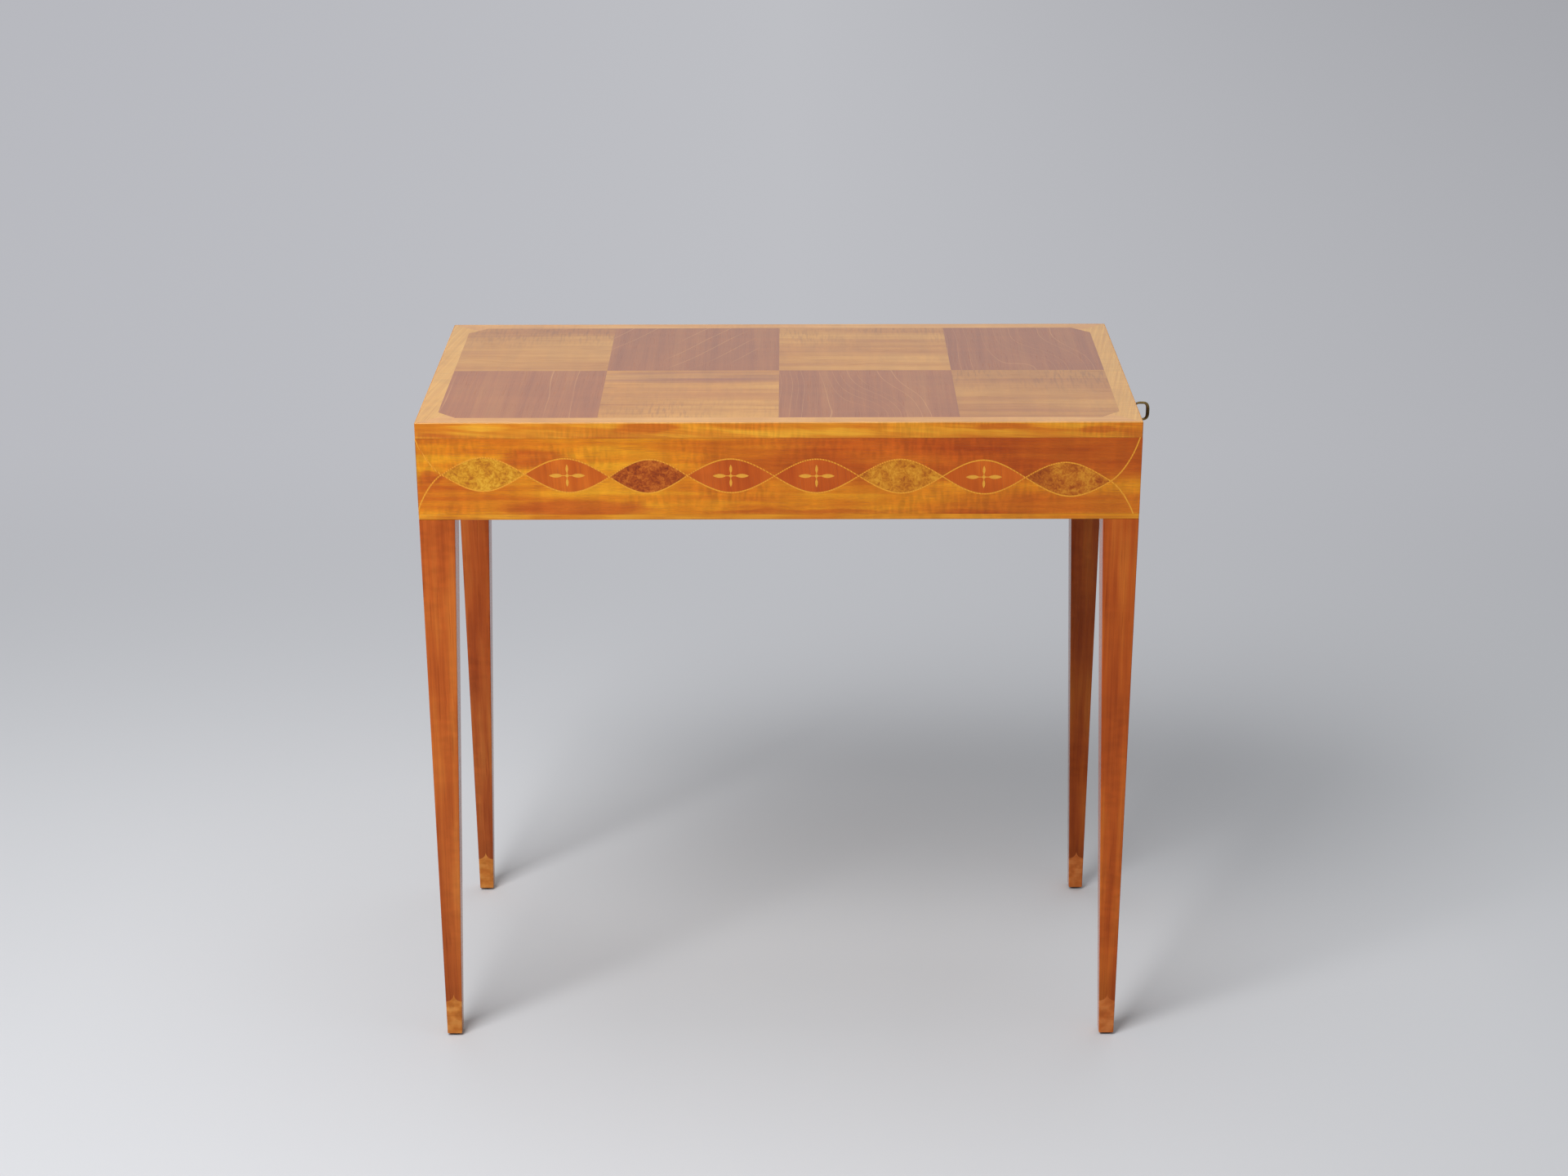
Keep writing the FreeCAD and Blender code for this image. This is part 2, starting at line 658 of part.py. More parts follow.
def within(solids, low, high):
    """What of the solids lies between two depths along Y."""
    corner = Vector(value("case_mid"), low, 0)
    room = Part.makeBox(value("top_length"), high - low, value("table_rise"), corner)
    return [part for solid in solids for part in solid.common(room).Solids if part.Volume > 0.01]


# The long chains are laid by eye. How far each crossing lies from its even place: along, as a share of the
# pitch, and up, as a share of the swell.
wander = {0: (-0.006, 0.13), 1: (-0.011, 0.15), 2: (0.003, -0.025), 3: (-0.067, 0.05), 4: (-0.025, 0.015),
          5: (-0.016, 0.015), 6: (-0.014, -0.025), 7: (-0.023, -0.1), 8: (0, -0.32)}
long_cross = [k in (1, 3, 4, 6) for k in range(int(value("wave_count")))]
end_cross = [k in (1, 2) for k in range(int(value("end_count")))]
long_start = value("-wave_shift - wave_count * wave_pitch / 2")
long_crossings = []
for k in range(len(long_cross) + 1):
    along, up = wander.get(k, (0, 0))
    long_crossings.append(Vector(long_start + (k + along) * value("wave_pitch"), 0, up * value("wave_swell")))
end_crossings = [Vector((k - len(end_cross) / 2) * value("end_pitch"), 0, 0) for k in range(len(end_cross) + 1)]
long_chain = inlaid(value("top_length"), long_crossings, long_cross)
end_chain = inlaid(value("top_depth - 2 * veneer"), end_crossings, end_cross)
right_chain = {kind: placed(pieces, 90, (value("case_right"), 0, 0)) for kind, pieces in end_chain.items()}
kinds = {"ground": "field_veneer", "string": "stringing", "plain": "burl_lenses", "crossed": "cross_lenses"}
for side_name, side, turn in (("front", -1, 0), ("back", 1, 180)):
    at = (value("case_mid"), side * value("half_depth"), 0)
    reach = sorted((side * value("inner_depth"), side * value("half_depth")))
    for kind, label in kinds.items():
        pieces = placed(long_chain[kind], turn, at) + within(right_chain[kind], *reach)
        node(feature(f"{label}_{side_name}", Part.makeCompound(pieces)), f"{label}_{side_name}")
for kind, label in (("ground", "field_veneer"), ("string", "stringing"), ("lens", "lenses")):
    found = end_chain["plain"] + end_chain["crossed"] if kind == "lens" else end_chain[kind]
    pieces = placed(found, -90, (value("case_left"), 0, 0))
    node(feature(f"{label}_left", Part.makeCompound(pieces)), f"{label}_left")


# Drawer: lapped dovetails at the front, a housed back, a grooved bottom and one divider.
hole_x = ("front_inner + lock_deep - 0.1", "case_right + 2")
keyhole = group("keyhole", [
    cylinder("keyhole_round", "hole_radius", "wall + 2", (hole_x[0], "0", "key_level"), (1, 0, 0)),
    box("keyhole_slot", hole_x, both("slot_wide / 2"), ("key_level - slot_deep", "key_level")),
])
drawer_bottom = node(
    box("drawer_bottom", ("drawer_rear", "front_inner + groove_deep"), both("drawer_inner + groove_deep"),
        ("ply_low", "ply_high")), "drawer_bottom")
drawer_back = node(
    box("drawer_back", ("drawer_rear + dado_deep", "drawer_rear + dado_deep + drawer_back"),
        both("drawer_inner + dado_deep"), ("ply_high", "drawer_high - back_drop")), "drawer_back")
divider = node(
    box("drawer_divider", ("drawer_rear + dado_deep + drawer_back", "front_inner"), both("divider_thick / 2"),
        ("ply_high", "drawer_high - divider_drop")), "drawer_divider")

tails = []
tail_step = "(drawer_high - drawer_low) / tail_count"
for k in range(int(value("tail_count"))):
    level = f"drawer_low + ({k} + 0.5) * {tail_step}"
    for x, spread in (("front_inner", ""), ("front_inner + tail_long", "+ tail_flare"),
                      ("front_inner + tail_long", "+ tail_flare"), ("front_inner", "")):
        way = "-" if len(tails) % 4 < 2 else "+"
        tails.append((x, f"{level} {way} (tail_wide / 2 {spread})"))
side_outline = [("drawer_rear", "drawer_low"), ("front_inner", "drawer_low"), *tails,
                ("front_inner", "drawer_high"), ("drawer_rear", "drawer_high")]
drawer_sides = []
for side_name, side in sides.items():
    span = ("drawer_inner", "drawer_half") if side > 0 else ("-drawer_half", "-drawer_inner")
    board = panel(f"drawer_board_{side_name}", side_outline, *span)
    drawer_sides.append(board)
    node(cut(f"drawer_side_{side_name}", board, drawer_bottom, drawer_back), f"drawer_side_{side_name}")

# Lock, let into the back of the drawer front, with its bolt, key and plates.
lock_z = ("front_high - lock_tall", "front_high")
lock_body = box("lock_body", ("front_inner", "front_inner + lock_deep"), both("lock_wide / 2"), lock_z)
lock_flange = box("lock_flange", ("front_inner", "front_inner + lock_wall"), both("flange_wide / 2"), lock_z)
lock_block = join("lock_block", [lock_body, lock_flange])
cavity = box("lock_cavity", ("front_inner + lock_wall", "front_inner + lock_deep - lock_wall"),
             both("lock_wide / 2 - lock_wall"),
             ("front_high - lock_tall + lock_wall", "front_high - lock_wall"))
bolt_slot = box("lock_bolt_slot", ("bolt_inner - bolt_fit", "bolt_inner + bolt_thick + bolt_fit"),
                both("bolt_wide / 2 + bolt_fit"), ("front_high - 2 * lock_wall", "front_high + 1"))
key_start = ("key_inner", "0", "key_level")
lock_hole = cylinder("lock_hole", "key_radius + key_fit", "lock_deep", key_start, (1, 0, 0))
lock_slot = box("lock_slot", ("key_inner", "front_inner + lock_deep + 1"), both("slot_wide / 2"),
                ("key_level - slot_deep", "key_level"))
lock_screws = []
for step_y in (-1, 1):
    for step_z in (-1, 1):
        at = ("front_inner", f"{step_y} * (lock_wide + flange_wide) / 4",
              f"front_high - lock_tall / 2 + {step_z} * lock_screw_pitch / 2")
        name = f"lock_screw_{len(lock_screws)}"
        lock_screws.append(
            screw(name, "lock_screw_radius", "lock_screw_head", "lock_screw_length", at, (1, 0, 0)))
lock_screws = node(group("lock_screws", lock_screws), "lock_screws")
node(cut("lock_case", lock_block, cavity, bolt_slot, lock_hole, lock_slot, lock_screws), "lock_case")

bolt_x = ("bolt_inner", "bolt_inner + bolt_thick")
window_z = ("key_level - window_down", "key_level + window_up")
bolt_blank = join("bolt_blank", [
    box("bolt_lower", bolt_x, both("bolt_frame / 2"),
        ("key_level - window_down - bolt_bridge + 1", "key_level + window_up + bolt_bridge")),
    box("bolt_neck", bolt_x, both("bolt_wide / 2"), ("key_level", "front_high - 0.2")),
])
bolt_hole = box("bolt_window_cut", bolt_x, both("bolt_window / 2"), window_z)
node(cut("lock_bolt", bolt_blank, bolt_hole), "lock_bolt")

front_board = box("front_board", ("front_inner", "case_right - veneer"), both("front_half"),
                  ("front_low", "front_high"))
node(cut("drawer_front", front_board, *drawer_sides, drawer_bottom, lock_block, lock_screws, keyhole),
     "drawer_front")

plate_middle = ("case_right", "0", "key_level")
plate_round = cylinder("plate_round", "plate_radius", "plate_thick", plate_middle, (1, 0, 0))
plate_tail = box("plate_tail", ("case_right", "case_right + plate_thick"), both("plate_radius / 2"),
                 ("key_level - plate_drop", "key_level"))
node(cut("escutcheon", join("escutcheon_blank", [plate_round, plate_tail]), keyhole), "escutcheon")

shank = cylinder("key_shank", "key_radius", "bow_inner + bow_edge / 2 - key_inner", key_start, (1, 0, 0))
collar_start = ("bow_inner - collar_long", "0", "key_level")
collar = cylinder("key_collar", "collar_radius", "collar_long", collar_start, (1, 0, 0))
bit = box("key_bit", ("key_inner", "key_inner + bit_long"), both("bit_thick / 2"),
          ("key_level - bit_reach", "key_level"))


def key_bow():
    """Flat rounded ring of the key, upright at rest, thicker on its outer side."""
    wide, tall, thick = value("bow_wide"), value("bow_tall"), value("bow_thick")
    arm, edge = value("bow_arm"), value("bow_edge")
    corner = Vector(value("bow_inner"), -thick / 2, value("key_level") - tall / 2)
    ring = Part.makeBox(wide, thick, tall, corner)
    hole = Part.makeBox(wide - arm - edge, thick * 3, tall - 2 * arm, corner + Vector(arm, -thick, arm))
    for_y = [[e for e in item.Edges if abs(e.tangentAt(0).y) > 0.9] for item in (ring, hole)]
    ring = ring.makeFillet(value("bow_round"), for_y[0])
    hole = hole.makeFillet(value("bow_hole_round"), for_y[1])
    ring = ring.cut(hole)
    rims = [e for e in ring.Edges if e.Length > 0.1 and abs(abs(e.CenterOfMass.y) - thick / 2) < 0.01]
    return ring.makeFillet(thick / 3, rims)


bow = feature("key_bow", key_bow())
node(join("key", [shank, collar, bit, bow]), "key")

# The drawer front's share of the right-hand end's inlay.
half = value("front_half")
room = Part.makeBox(value("veneer") * 3, 2 * half, value("front_high - front_low"),
                    Vector(value("case_right - 2 * veneer"), -half, value("front_low")))
doc.recompute()
for kind, label in (("ground", "field_veneer"), ("string", "stringing"), ("lens", "lenses")):
    found = right_chain["plain"] + right_chain["crossed"] if kind == "lens" else right_chain[kind]
    kept = [solid.common(room).cut(keyhole.Shape) for solid in found]
    solids = [part for shape in kept for part in shape.Solids if part.Volume > 0.01]
    node(feature(f"{label}_drawer", Part.makeCompound(solids)), f"{label}_drawer")

doc.recompute()
faulty = [item.Label for item in doc.Objects if {"Invalid", "Error"} & set(item.State)]
faulty += [item.Label for item in nodes if item.Shape.isNull() or not item.Shape.isValid()]
if faulty:
    raise SystemExit(f"these objects failed: {faulty}")
for item in nodes:
    item.Shape.exportStep(f"parts/{item.Label}.step")
print(f"{len(nodes)} sub-parts, {sum(len(item.Shape.Solids) for item in nodes)} solids")
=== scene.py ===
# Dresses the chess table: eased edges, shoes and a cast key as new meshes, and the finish of every piece.
# Metres throughout, in the part's own frame: X along the table, -Y its front, Z up from the floor.
import bpy
import math
import numpy as np
from mathutils import Matrix, Vector


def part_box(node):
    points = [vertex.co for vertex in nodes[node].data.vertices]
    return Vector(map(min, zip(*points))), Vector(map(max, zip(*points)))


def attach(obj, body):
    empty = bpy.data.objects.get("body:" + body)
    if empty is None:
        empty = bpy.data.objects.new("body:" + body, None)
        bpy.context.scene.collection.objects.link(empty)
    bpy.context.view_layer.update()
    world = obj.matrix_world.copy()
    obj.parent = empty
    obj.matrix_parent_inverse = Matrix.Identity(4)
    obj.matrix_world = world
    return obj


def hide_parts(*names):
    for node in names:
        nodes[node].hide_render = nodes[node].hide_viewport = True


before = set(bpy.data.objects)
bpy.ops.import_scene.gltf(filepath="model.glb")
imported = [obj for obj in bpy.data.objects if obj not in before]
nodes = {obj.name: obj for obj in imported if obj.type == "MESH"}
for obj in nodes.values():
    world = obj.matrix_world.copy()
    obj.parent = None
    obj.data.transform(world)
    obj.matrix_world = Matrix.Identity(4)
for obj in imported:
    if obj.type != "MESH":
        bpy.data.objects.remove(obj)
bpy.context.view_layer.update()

bandLow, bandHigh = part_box("edge_band_front")
stripLow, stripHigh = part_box("strip_front")
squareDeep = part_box("light_squares")[1].y
caseLeft, caseRight = bandLow.x, bandHigh.x
caseMid = (caseLeft + caseRight) / 2
halfDepth = -bandLow.y
topUnder, tableRise = bandLow.z, bandHigh.z
caseBottom, fieldBottom = stripLow.z, stripHigh.z
chainLevel = (fieldBottom + topUnder) / 2
squareSide = (caseRight - caseLeft) / 4
ends = {"left": caseLeft, "right": caseRight}
depths = {"front": -halfDepth, "back": halfDepth}


def placed(name, data):
    # A new object in the scene.
    made = bpy.data.objects.new(name, data)
    bpy.context.scene.collection.objects.link(made)
    return made


def linear(red, green, blue):
    # A colour as a screen shows it, 0 to 255, on the shader's linear scale.
    seen = np.array([red, green, blue]) / 255
    return tuple(float(v) for v in np.where(seen <= 0.04045, seen / 12.92, ((seen + 0.055) / 1.055) ** 2.4))


class Graph:
    # The node tree of a material or of the world. Each call adds a node and hands back its result.
    def __init__(self, name, kind="materials"):
        self.owner = getattr(bpy.data, kind).new(name)
        self.owner.use_nodes = True
        self.tree = self.owner.node_tree
        self.tree.nodes.clear()

    def add(self, kind, result, inputs, **settings):
        node = self.tree.nodes.new("ShaderNode" + kind)
        for key, choice in settings.items():
            setattr(node, key, choice)
        for key, value in inputs.items():
            if isinstance(value, bpy.types.NodeSocket):
                self.tree.links.new(value, node.inputs[key])
            else:
                node.inputs[key].default_value = value
        return node.outputs[result]

    def maths(self, operation, first, second=0.0, third=0.0):
        return self.add("Math", 0, {0: first, 1: second, 2: third}, operation=operation)

    def times(self, first, second):
        return self.maths("MULTIPLY", first, second)

    def plus(self, first, second):
        return self.maths("ADD", first, second)

    def minus(self, first, second):
        return self.maths("SUBTRACT", first, second)

    def over(self, first, second):
        return self.maths("DIVIDE", first, second)

    def timesPlus(self, first, second, third):
        return self.maths("MULTIPLY_ADD", first, second, third)

    def beyond(self, value, limit):
        # 1 above the limit and 0 below it.
        return self.maths("GREATER_THAN", value, limit)

    def chosen(self, share, first, second):
        # The first number where share is 0 and the second where it is 1.
        return self.add("Mix", 0, {0: share, 2: first, 3: second}, data_type="FLOAT")

    def split(self, vector):
        parts = self.add("SeparateXYZ", 0, {0: vector}).node.outputs
        return [parts[k] for k in range(3)]

    def joined(self, x, y, z):
        return self.add("CombineXYZ", 0, {0: x, 1: y, 2: z})

    def scaled(self, vector, amounts):
        return self.add("VectorMath", 0, {0: vector, 1: amounts}, operation="MULTIPLY")

    def moved(self, vector, amounts):
        return self.add("VectorMath", 0, {0: vector, 1: amounts}, operation="ADD")

    def local(self):
        return self.split(self.add("TexCoord", "Object", {}))

    def noise(self, vector, amounts, detail=2.0, roughness=0.5, result="Fac"):
        # Noise with so many waves in a metre along each axis.
        inputs = {"Vector": self.scaled(vector, amounts), "Scale": 1.0, "Detail": detail,
                  "Roughness": roughness}
        return self.add("TexNoise", result, inputs)

    def spread(self, value, low, high, start=0.0, stop=1.0):
        # Stretches low to high onto start to stop, eased at both ends, and holds what lies outside.
        inputs = {"Value": value, "From Min": low, "From Max": high, "To Min": start, "To Max": stop}
        return self.add("MapRange", 0, inputs, interpolation_type="SMOOTHSTEP")

    def patchy(self, vector, feature, detail=1, roughness=0.5):
        # Noise as a feature gives it: its waves in a metre, then from where to where it is stretched.
        waves, *span = feature
        return self.spread(self.noise(vector, waves, detail, roughness), *span)

    def ramp(self, factor, stops, interpolation="LINEAR"):
        colour = self.add("ValToRGB", "Color", {"Fac": factor})
        bands = colour.node.color_ramp
        bands.interpolation = interpolation
        bands.elements.remove(bands.elements[-1])
        bands.elements[0].position = stops[0][0]
        bands.elements[0].color = (*stops[0][1], 1)
        for position, shade in stops[1:]:
            bands.elements.new(position).color = (*shade, 1)
        return colour

    def mixed(self, factor, first, second, way="MIX"):
        shades = [value if isinstance(value, bpy.types.NodeSocket) else (*value, 1)
                  for value in (first, second)]
        return self.add("Mix", 2, {0: factor, 6: shades[0], 7: shades[1]}, data_type="RGBA", blend_type=way)

    def tinted(self, colour, tint):
        return self.mixed(1.0, colour, tint, "MULTIPLY")

    def lit(self, colour, factor):
        # A colour times a plain number.
        grey = self.add("CombineColor", 0, {0: factor, 1: factor, 2: factor})
        return self.tinted(colour, grey)

    def lengthSquared(self, first, second):
        return self.plus(self.maths("POWER", first, 2.0), self.maths("POWER", second, 2.0))

    def patch(self, spot, centre, reach, soft):
        # 1 inside an oval round the centre and 0 outside it, with a soft edge, on spot's first two axes.
        across = [self.over(self.minus(spot[k], centre[k]), reach[k]) for k in (0, 1)]
        away = self.lengthSquared(*across)
        return self.spread(away, 1.0 + soft, 1.0 - soft)

    def finish(self, colour, roughness, height, lift, **fixed):
        # The surface: colour, roughness and height may vary over the piece, the rest is the same all over.
        bump = self.add("Bump", 0, {"Height": height, "Distance": lift, "Strength": 1.0})
        inputs = {"Base Color": colour, "Roughness": roughness, "Normal": bump, **fixed}
        return self.shown(self.add("BsdfPrincipled", 0, inputs))

    def shown(self, shader, kind="Material"):
        # Ends the tree, and hands back the material or the world.
        end = self.tree.nodes.new("ShaderNodeOutput" + kind)
        self.tree.links.new(shader, end.inputs["Surface"])
        return self.owner


logSteps = (3.0, 0.9, 0.4)     # how far apart in the log two squares may be cut


def sheets(graph, local, order, look):
    # The place on a sheet of veneer: grain first, then width, then thickness, each along X, Y or Z, R round
    # the table's corners, or O for nothing. Where a look has cells, each square is cut from another log.
    x, y, z = local
    axes = {"X": x, "Y": y, "Z": z, "R": graph.plus(x, y), "O": 0.0}
    place = graph.joined(*[axes[axis] for axis in order])
    if "skew" in look:
        along, width, deep = graph.split(place)
        place = graph.joined(along, graph.timesPlus(along, look["skew"], width), deep)
    if "cells" not in look:
        return graph.moved(place, look["log"])
    across = graph.maths("FLOOR", graph.over(graph.minus(x, caseLeft), squareSide))
    row = graph.maths("SIGN", y)
    pick = graph.add("TexWhiteNoise", "Color", {"Vector": graph.joined(across, row, look["cells"])})
    return graph.moved(graph.moved(place, look["log"]), graph.scaled(pick, logSteps))


# From where to where the noise of each feature is stretched. wander is how finely the grain bends, veinShift
# keeps the pores off the fibres, and veinEdge is how softly a pore begins.
figure = {
    "wander": (2.2, 6, 6), "cloud": (0.3, 0.7), "streak": (0.28, 0.72), "ripple": (0.33, 0.67, -1, 1),
    "rippled": (0.42, 0.6, 0.1), "fibre": (0.3, 0.7, -1, 1), "sheen": (0.3, 0.7, -1, 1),
    "broken": (0.44, 0.56), "veinShift": (0.3, 0.7, 0.1), "veinEdge": 0.05,
}


def woodgrain(graph, place, look):
    # Tone, brightness and pores of a wood: a cloudy tone with long streaks, a ripple that crosses the
    # grain in patches, fine fibres, and thin broken lines of dark pores.
    wander = graph.minus(graph.noise(place, figure["wander"], 1), 0.5)
    along, width, deep = graph.split(place)
    bent = graph.joined(along, graph.timesPlus(wander, look["wander"], width), deep)
    cloud = graph.patchy(place, (look["cloud"], *figure["cloud"]), 2)
    streak = graph.patchy(bent, (look["streak"], *figure["streak"]), 4, 0.6)
    tone = graph.timesPlus(graph.minus(streak, cloud), look["streaky"], cloud)
    ripple = graph.patchy(bent, (look["ripple"], *figure["ripple"]), 1, 0.4)
    rippled = graph.patchy(place, (look["rippled"], *figure["rippled"]))
    fibre = graph.patchy(bent, (look["fibres"], *figure["fibre"]), 2, 0.7)
    light = graph.timesPlus(graph.times(ripple, rippled), look["rippling"], 1.0)
    light = graph.timesPlus(fibre, look["fibre"], light)
    sheen = graph.patchy(place, (look["sheen"], *figure["sheen"]), 1, 0.4)
    light = graph.timesPlus(sheen, look["sheening"], light)
    vein = graph.noise(graph.moved(bent, figure["veinShift"]), look["vein"], 2, 0.6)
    broken = graph.patchy(place, (look["broken"], *figure["broken"]))
    line = graph.spread(vein, look["veinFrom"], look["veinFrom"] + figure["veinEdge"])
    line = graph.times(line, broken)
    return tone, light, line, fibre


polish = {"poreDepth": -2.0, "poreRough": 0.1, "index": 1.5}    # pores lie low and dull under clear polish


def polished(graph, colour, light, line, fibre, look):
    # Polish over an open grain: the fibres and the pores show through as a slight relief.
    height = graph.timesPlus(line, polish["poreDepth"], fibre)
    rough = graph.spread(line, 0.0, 1.0, look["rough"], look["rough"] + polish["poreRough"])
    fixed = {"IOR": polish["index"], "Specular IOR Level": look["gloss"], "Coat Weight": look["coat"],
             "Coat Roughness": look["coatRough"]}
    strength = graph.times(line, look["lineStrength"])
    shaded = graph.mixed(strength, graph.lit(colour, light), look["lineColour"])
    return graph.finish(shaded, rough, height, look["relief"], **fixed)


def wood(name, order, look, zones=None):
    # One wood's material. zones, if given, changes the colour from place to place.
    graph = Graph(name)
    local = graph.local()
    place = sheets(graph, local, order, look)
    tone, light, line, fibre = woodgrain(graph, place, look)
    colour = graph.ramp(tone, look["tones"])
    if zones:
        colour = zones(graph, local, tone, colour)
    return polished(graph, colour, light, line, fibre, look)


def tones(dark, middle, pale):
    return [(0.0, linear(*dark)), (0.5, linear(*middle)), (1.0, linear(*pale))]


# Every look starts from this one and names what differs.
plainWood = {
    "log": (0.0, 0.0, 0.0), "wander": 0.012, "cloud": (3.0, 14, 14), "streak": (2.6, 110, 110),
    "streaky": 0.5, "ripple": (150, 16, 16), "rippled": (7, 22, 22), "rippling": 0.07,
    "fibres": (14, 700, 700), "fibre": 0.06, "sheen": (60, 10, 10), "sheening": 0.03,
    "vein": (30, 1150, 1150), "broken": (16, 60, 60), "veinFrom": 0.58, "lineStrength": 0.4,
    "lineColour": linear(160, 70, 10), "rough": 0.22, "relief": 0.00002, "gloss": 0.3, "coat": 0.0,
    "coatRough": 0.16,
}
golden = {
    **plainWood, "tones": tones((196, 92, 10), (218, 128, 14), (234, 160, 26)), "streaky": 0.45,
    "cloud": (7, 30, 30), "streak": (3.4, 120, 120), "rippling": 0.10, "ripple": (190, 60, 60),
    "sheening": 0.07, "fibres": (110, 900, 900), "fibre": 0.08,
}
endRed = 0.5             # the share of red on the end faces
redBrown = tones((162, 62, 8), (190, 86, 12), (206, 106, 20))
lightSquare = {
    **plainWood, "tones": tones((177, 107, 29), (199, 134, 43), (218, 157, 63)), "cells": 0.0, "coat": 0.75,
    "ripple": (190, 40, 40), "rippled": (3, 16, 16), "rippling": 0.03, "streak": (1.6, 70, 70),
    "fibre": 0.035, "log": (0.4, 1.1, 0.0), "rough": 0.3, "gloss": 0.5, "lineColour": linear(150, 88, 40),
    "streaky": 0.45, "sheening": 0.04,
}
darkSquare = {
    **plainWood, "tones": tones((147, 80, 34), (161, 92, 38), (173, 107, 46)), "cells": 4.0, "coat": 0.75,
    "ripple": (300, 90, 90), "rippled": (5, 20, 20), "rippling": 0.02, "streak": (2.0, 90, 90), "fibre": 0.05,
    "log": (1.4, 0.2, 0.0), "rough": 0.3, "gloss": 0.5, "lineColour": linear(130, 70, 40),
    "lineStrength": 0.06,
}
border = {
    **plainWood, "tones": tones((201, 141, 56), (213, 155, 64), (225, 170, 81)), "coat": 0.75, "gloss": 0.5,
    "streak": (5, 190, 190), "cloud": (8, 30, 30), "rippling": 0.04, "rough": 0.3, "lineStrength": 0.2,
    "lineColour": linear(176, 116, 50), "ripple": (240, 40, 40),
}
borderPink = {
    **border, "tones": tones((197, 133, 60), (210, 147, 70), (221, 163, 85)), "log": (2.2, 0.3, 0.0),
}
borderGold = {**border, "skew": -0.16, "log": (1.2, 0.9, 0.0), "streaky": 0.7}
band = {
    **plainWood, "tones": tones((200, 106, 22), (219, 135, 29), (234, 163, 43)), "ripple": (280, 50, 50),
    "rippling": 0.09, "rippled": (6, 30, 30), "streak": (9, 150, 150), "cloud": (12, 70, 70), "streaky": 0.6,
    "vein": (60, 1150, 1150), "veinFrom": 0.64, "skew": 0.06, "sheening": 0.04,
}
mahogany = {
    **plainWood, "tones": tones((164, 70, 22), (190, 91, 31), (208, 114, 42)), "streak": (3.6, 190, 190),
    "cloud": (6, 40, 40), "ripple": (120, 60, 60), "rippling": 0.06, "vein": (10, 420, 420), "veinFrom": 0.62,
    "broken": (8, 60, 60), "lineColour": linear(128, 46, 8), "rough": 0.12, "streaky": 0.35, "gloss": 0.14,
}
shoeWood = {
    **plainWood, "tones": tones((184, 103, 38), (200, 121, 50), (214, 141, 68)), "streak": (9, 260, 260),
    "cloud": (70, 90, 90), "rough": 0.12, "ripple": (160, 90, 90), "rippling": 0.06, "lineStrength": 0.1,
    "streaky": 0.15, "fibre": 0.03, "gloss": 0.14,
}
stripWood = {
    **plainWood, "tones": tones((204, 112, 16), (216, 134, 22), (230, 156, 38)), "streak": (7, 200, 200),
    "cloud": (14, 20, 20), "ripple": (120, 60, 60),
}
carcass = {
    **plainWood, "tones": tones((196, 156, 104), (214, 178, 126), (226, 194, 146)), "rough": 0.5,
    "rippling": 0.02, "lineColour": linear(150, 108, 64), "gloss": 0.4,
}
plyFace = {
    **carcass, "tones": tones((206, 170, 122), (220, 186, 140), (230, 202, 160)), "log": (3.1, 0.4, 0.0),
}
lensWood = {
    **plainWood, "tones": tones((181, 74, 10), (196, 87, 16), (207, 99, 25)), "streak": (9, 190, 190),
    "cloud": (10, 34, 34), "skew": 0.08, "rippling": 0.02, "streaky": 0.4, "vein": (24, 520, 520),
}

stains = [  # centre and reach on the front, across and up, and how strong
    ((-0.290, 0.727), (0.036, 0.011), 0.8), ((-0.402, 0.705), (0.015, 0.009), 0.7),
    ((-0.235, 0.668), (0.085, 0.010), 0.85), ((0.32, 0.672), (0.13, 0.018), 0.62),
    ((0.02, 0.664), (0.13, 0.004), 0.6), ((0.25, 0.664), (0.12, 0.004), 0.6),
    ((0.30, 0.735), (0.10, 0.009), 0.5), ((-0.04, 0.722), (0.06, 0.008), 0.4),
]
glows = [
    ((-0.395, 0.718), (0.02, 0.004), 0.9), ((-0.10, 0.672), (0.07, 0.006), 0.6),
    ((0.07, 0.676), (0.09, 0.008), 0.7), ((-0.36, 0.672), (0.03, 0.005), 0.5),
    ((-0.36, 0.738), (0.05, 0.008), 0.7),
]
bandStains = [
    ((-0.405, 0.759), (0.04, 0.012), 0.15), ((-0.162, 0.763), (0.032, 0.007), 0.9),
    ((0.228, 0.7625), (0.032, 0.003), 0.6), ((0.335, 0.759), (0.022, 0.004), 0.9),
    ((0.385, 0.760), (0.03, 0.010), 0.4),
]
bandGlows = [
    ((-0.335, 0.763), (0.03, 0.004), 0.5), ((-0.02, 0.756), (0.06, 0.005), 0.5),
    ((0.05, 0.757), (0.05, 0.006), 0.3),
]
markSoft = 0.8           # how softly a stain or a glow ends
stir = {"waves": (22, 60, 1), "shift": (0.05, 0.012, 0.0)}     # how finely and how far their outlines wander


def marks(graph, spot, patches, start=0.0):
    # How strongly the strongest patch shows at a spot, at least start.
    total = start
    for centre, reach, strength in patches:
        mark = graph.times(graph.patch(spot, centre, reach, markSoft), strength)
        total = graph.maths("MAXIMUM", total, mark)
    return total


def stirred(graph, x, z):
    # A spot on the front, shifted a little here and there so that what lies there gets an uneven outline.
    flat = graph.joined(x, z, 0.0)
    shift = graph.scaled(graph.noise(flat, stir["waves"], 3, 0.6, "Color"), stir["shift"])
    middle = [-far / 2 for far in stir["shift"]]
    return graph.split(graph.moved(graph.moved(flat, shift), middle))


front = {
    "redFrom": -0.22, "redTo": 0.10, "levelFade": 0.012, "below": 0.35, "skin": 0.0008, "edge": 0.0004,
    "shade": ((0.33, 0.735), (0.09, 0.014)), "glow": ((0.15, 0.735), (0.06, 0.014)), "contrast": 0.07,
}


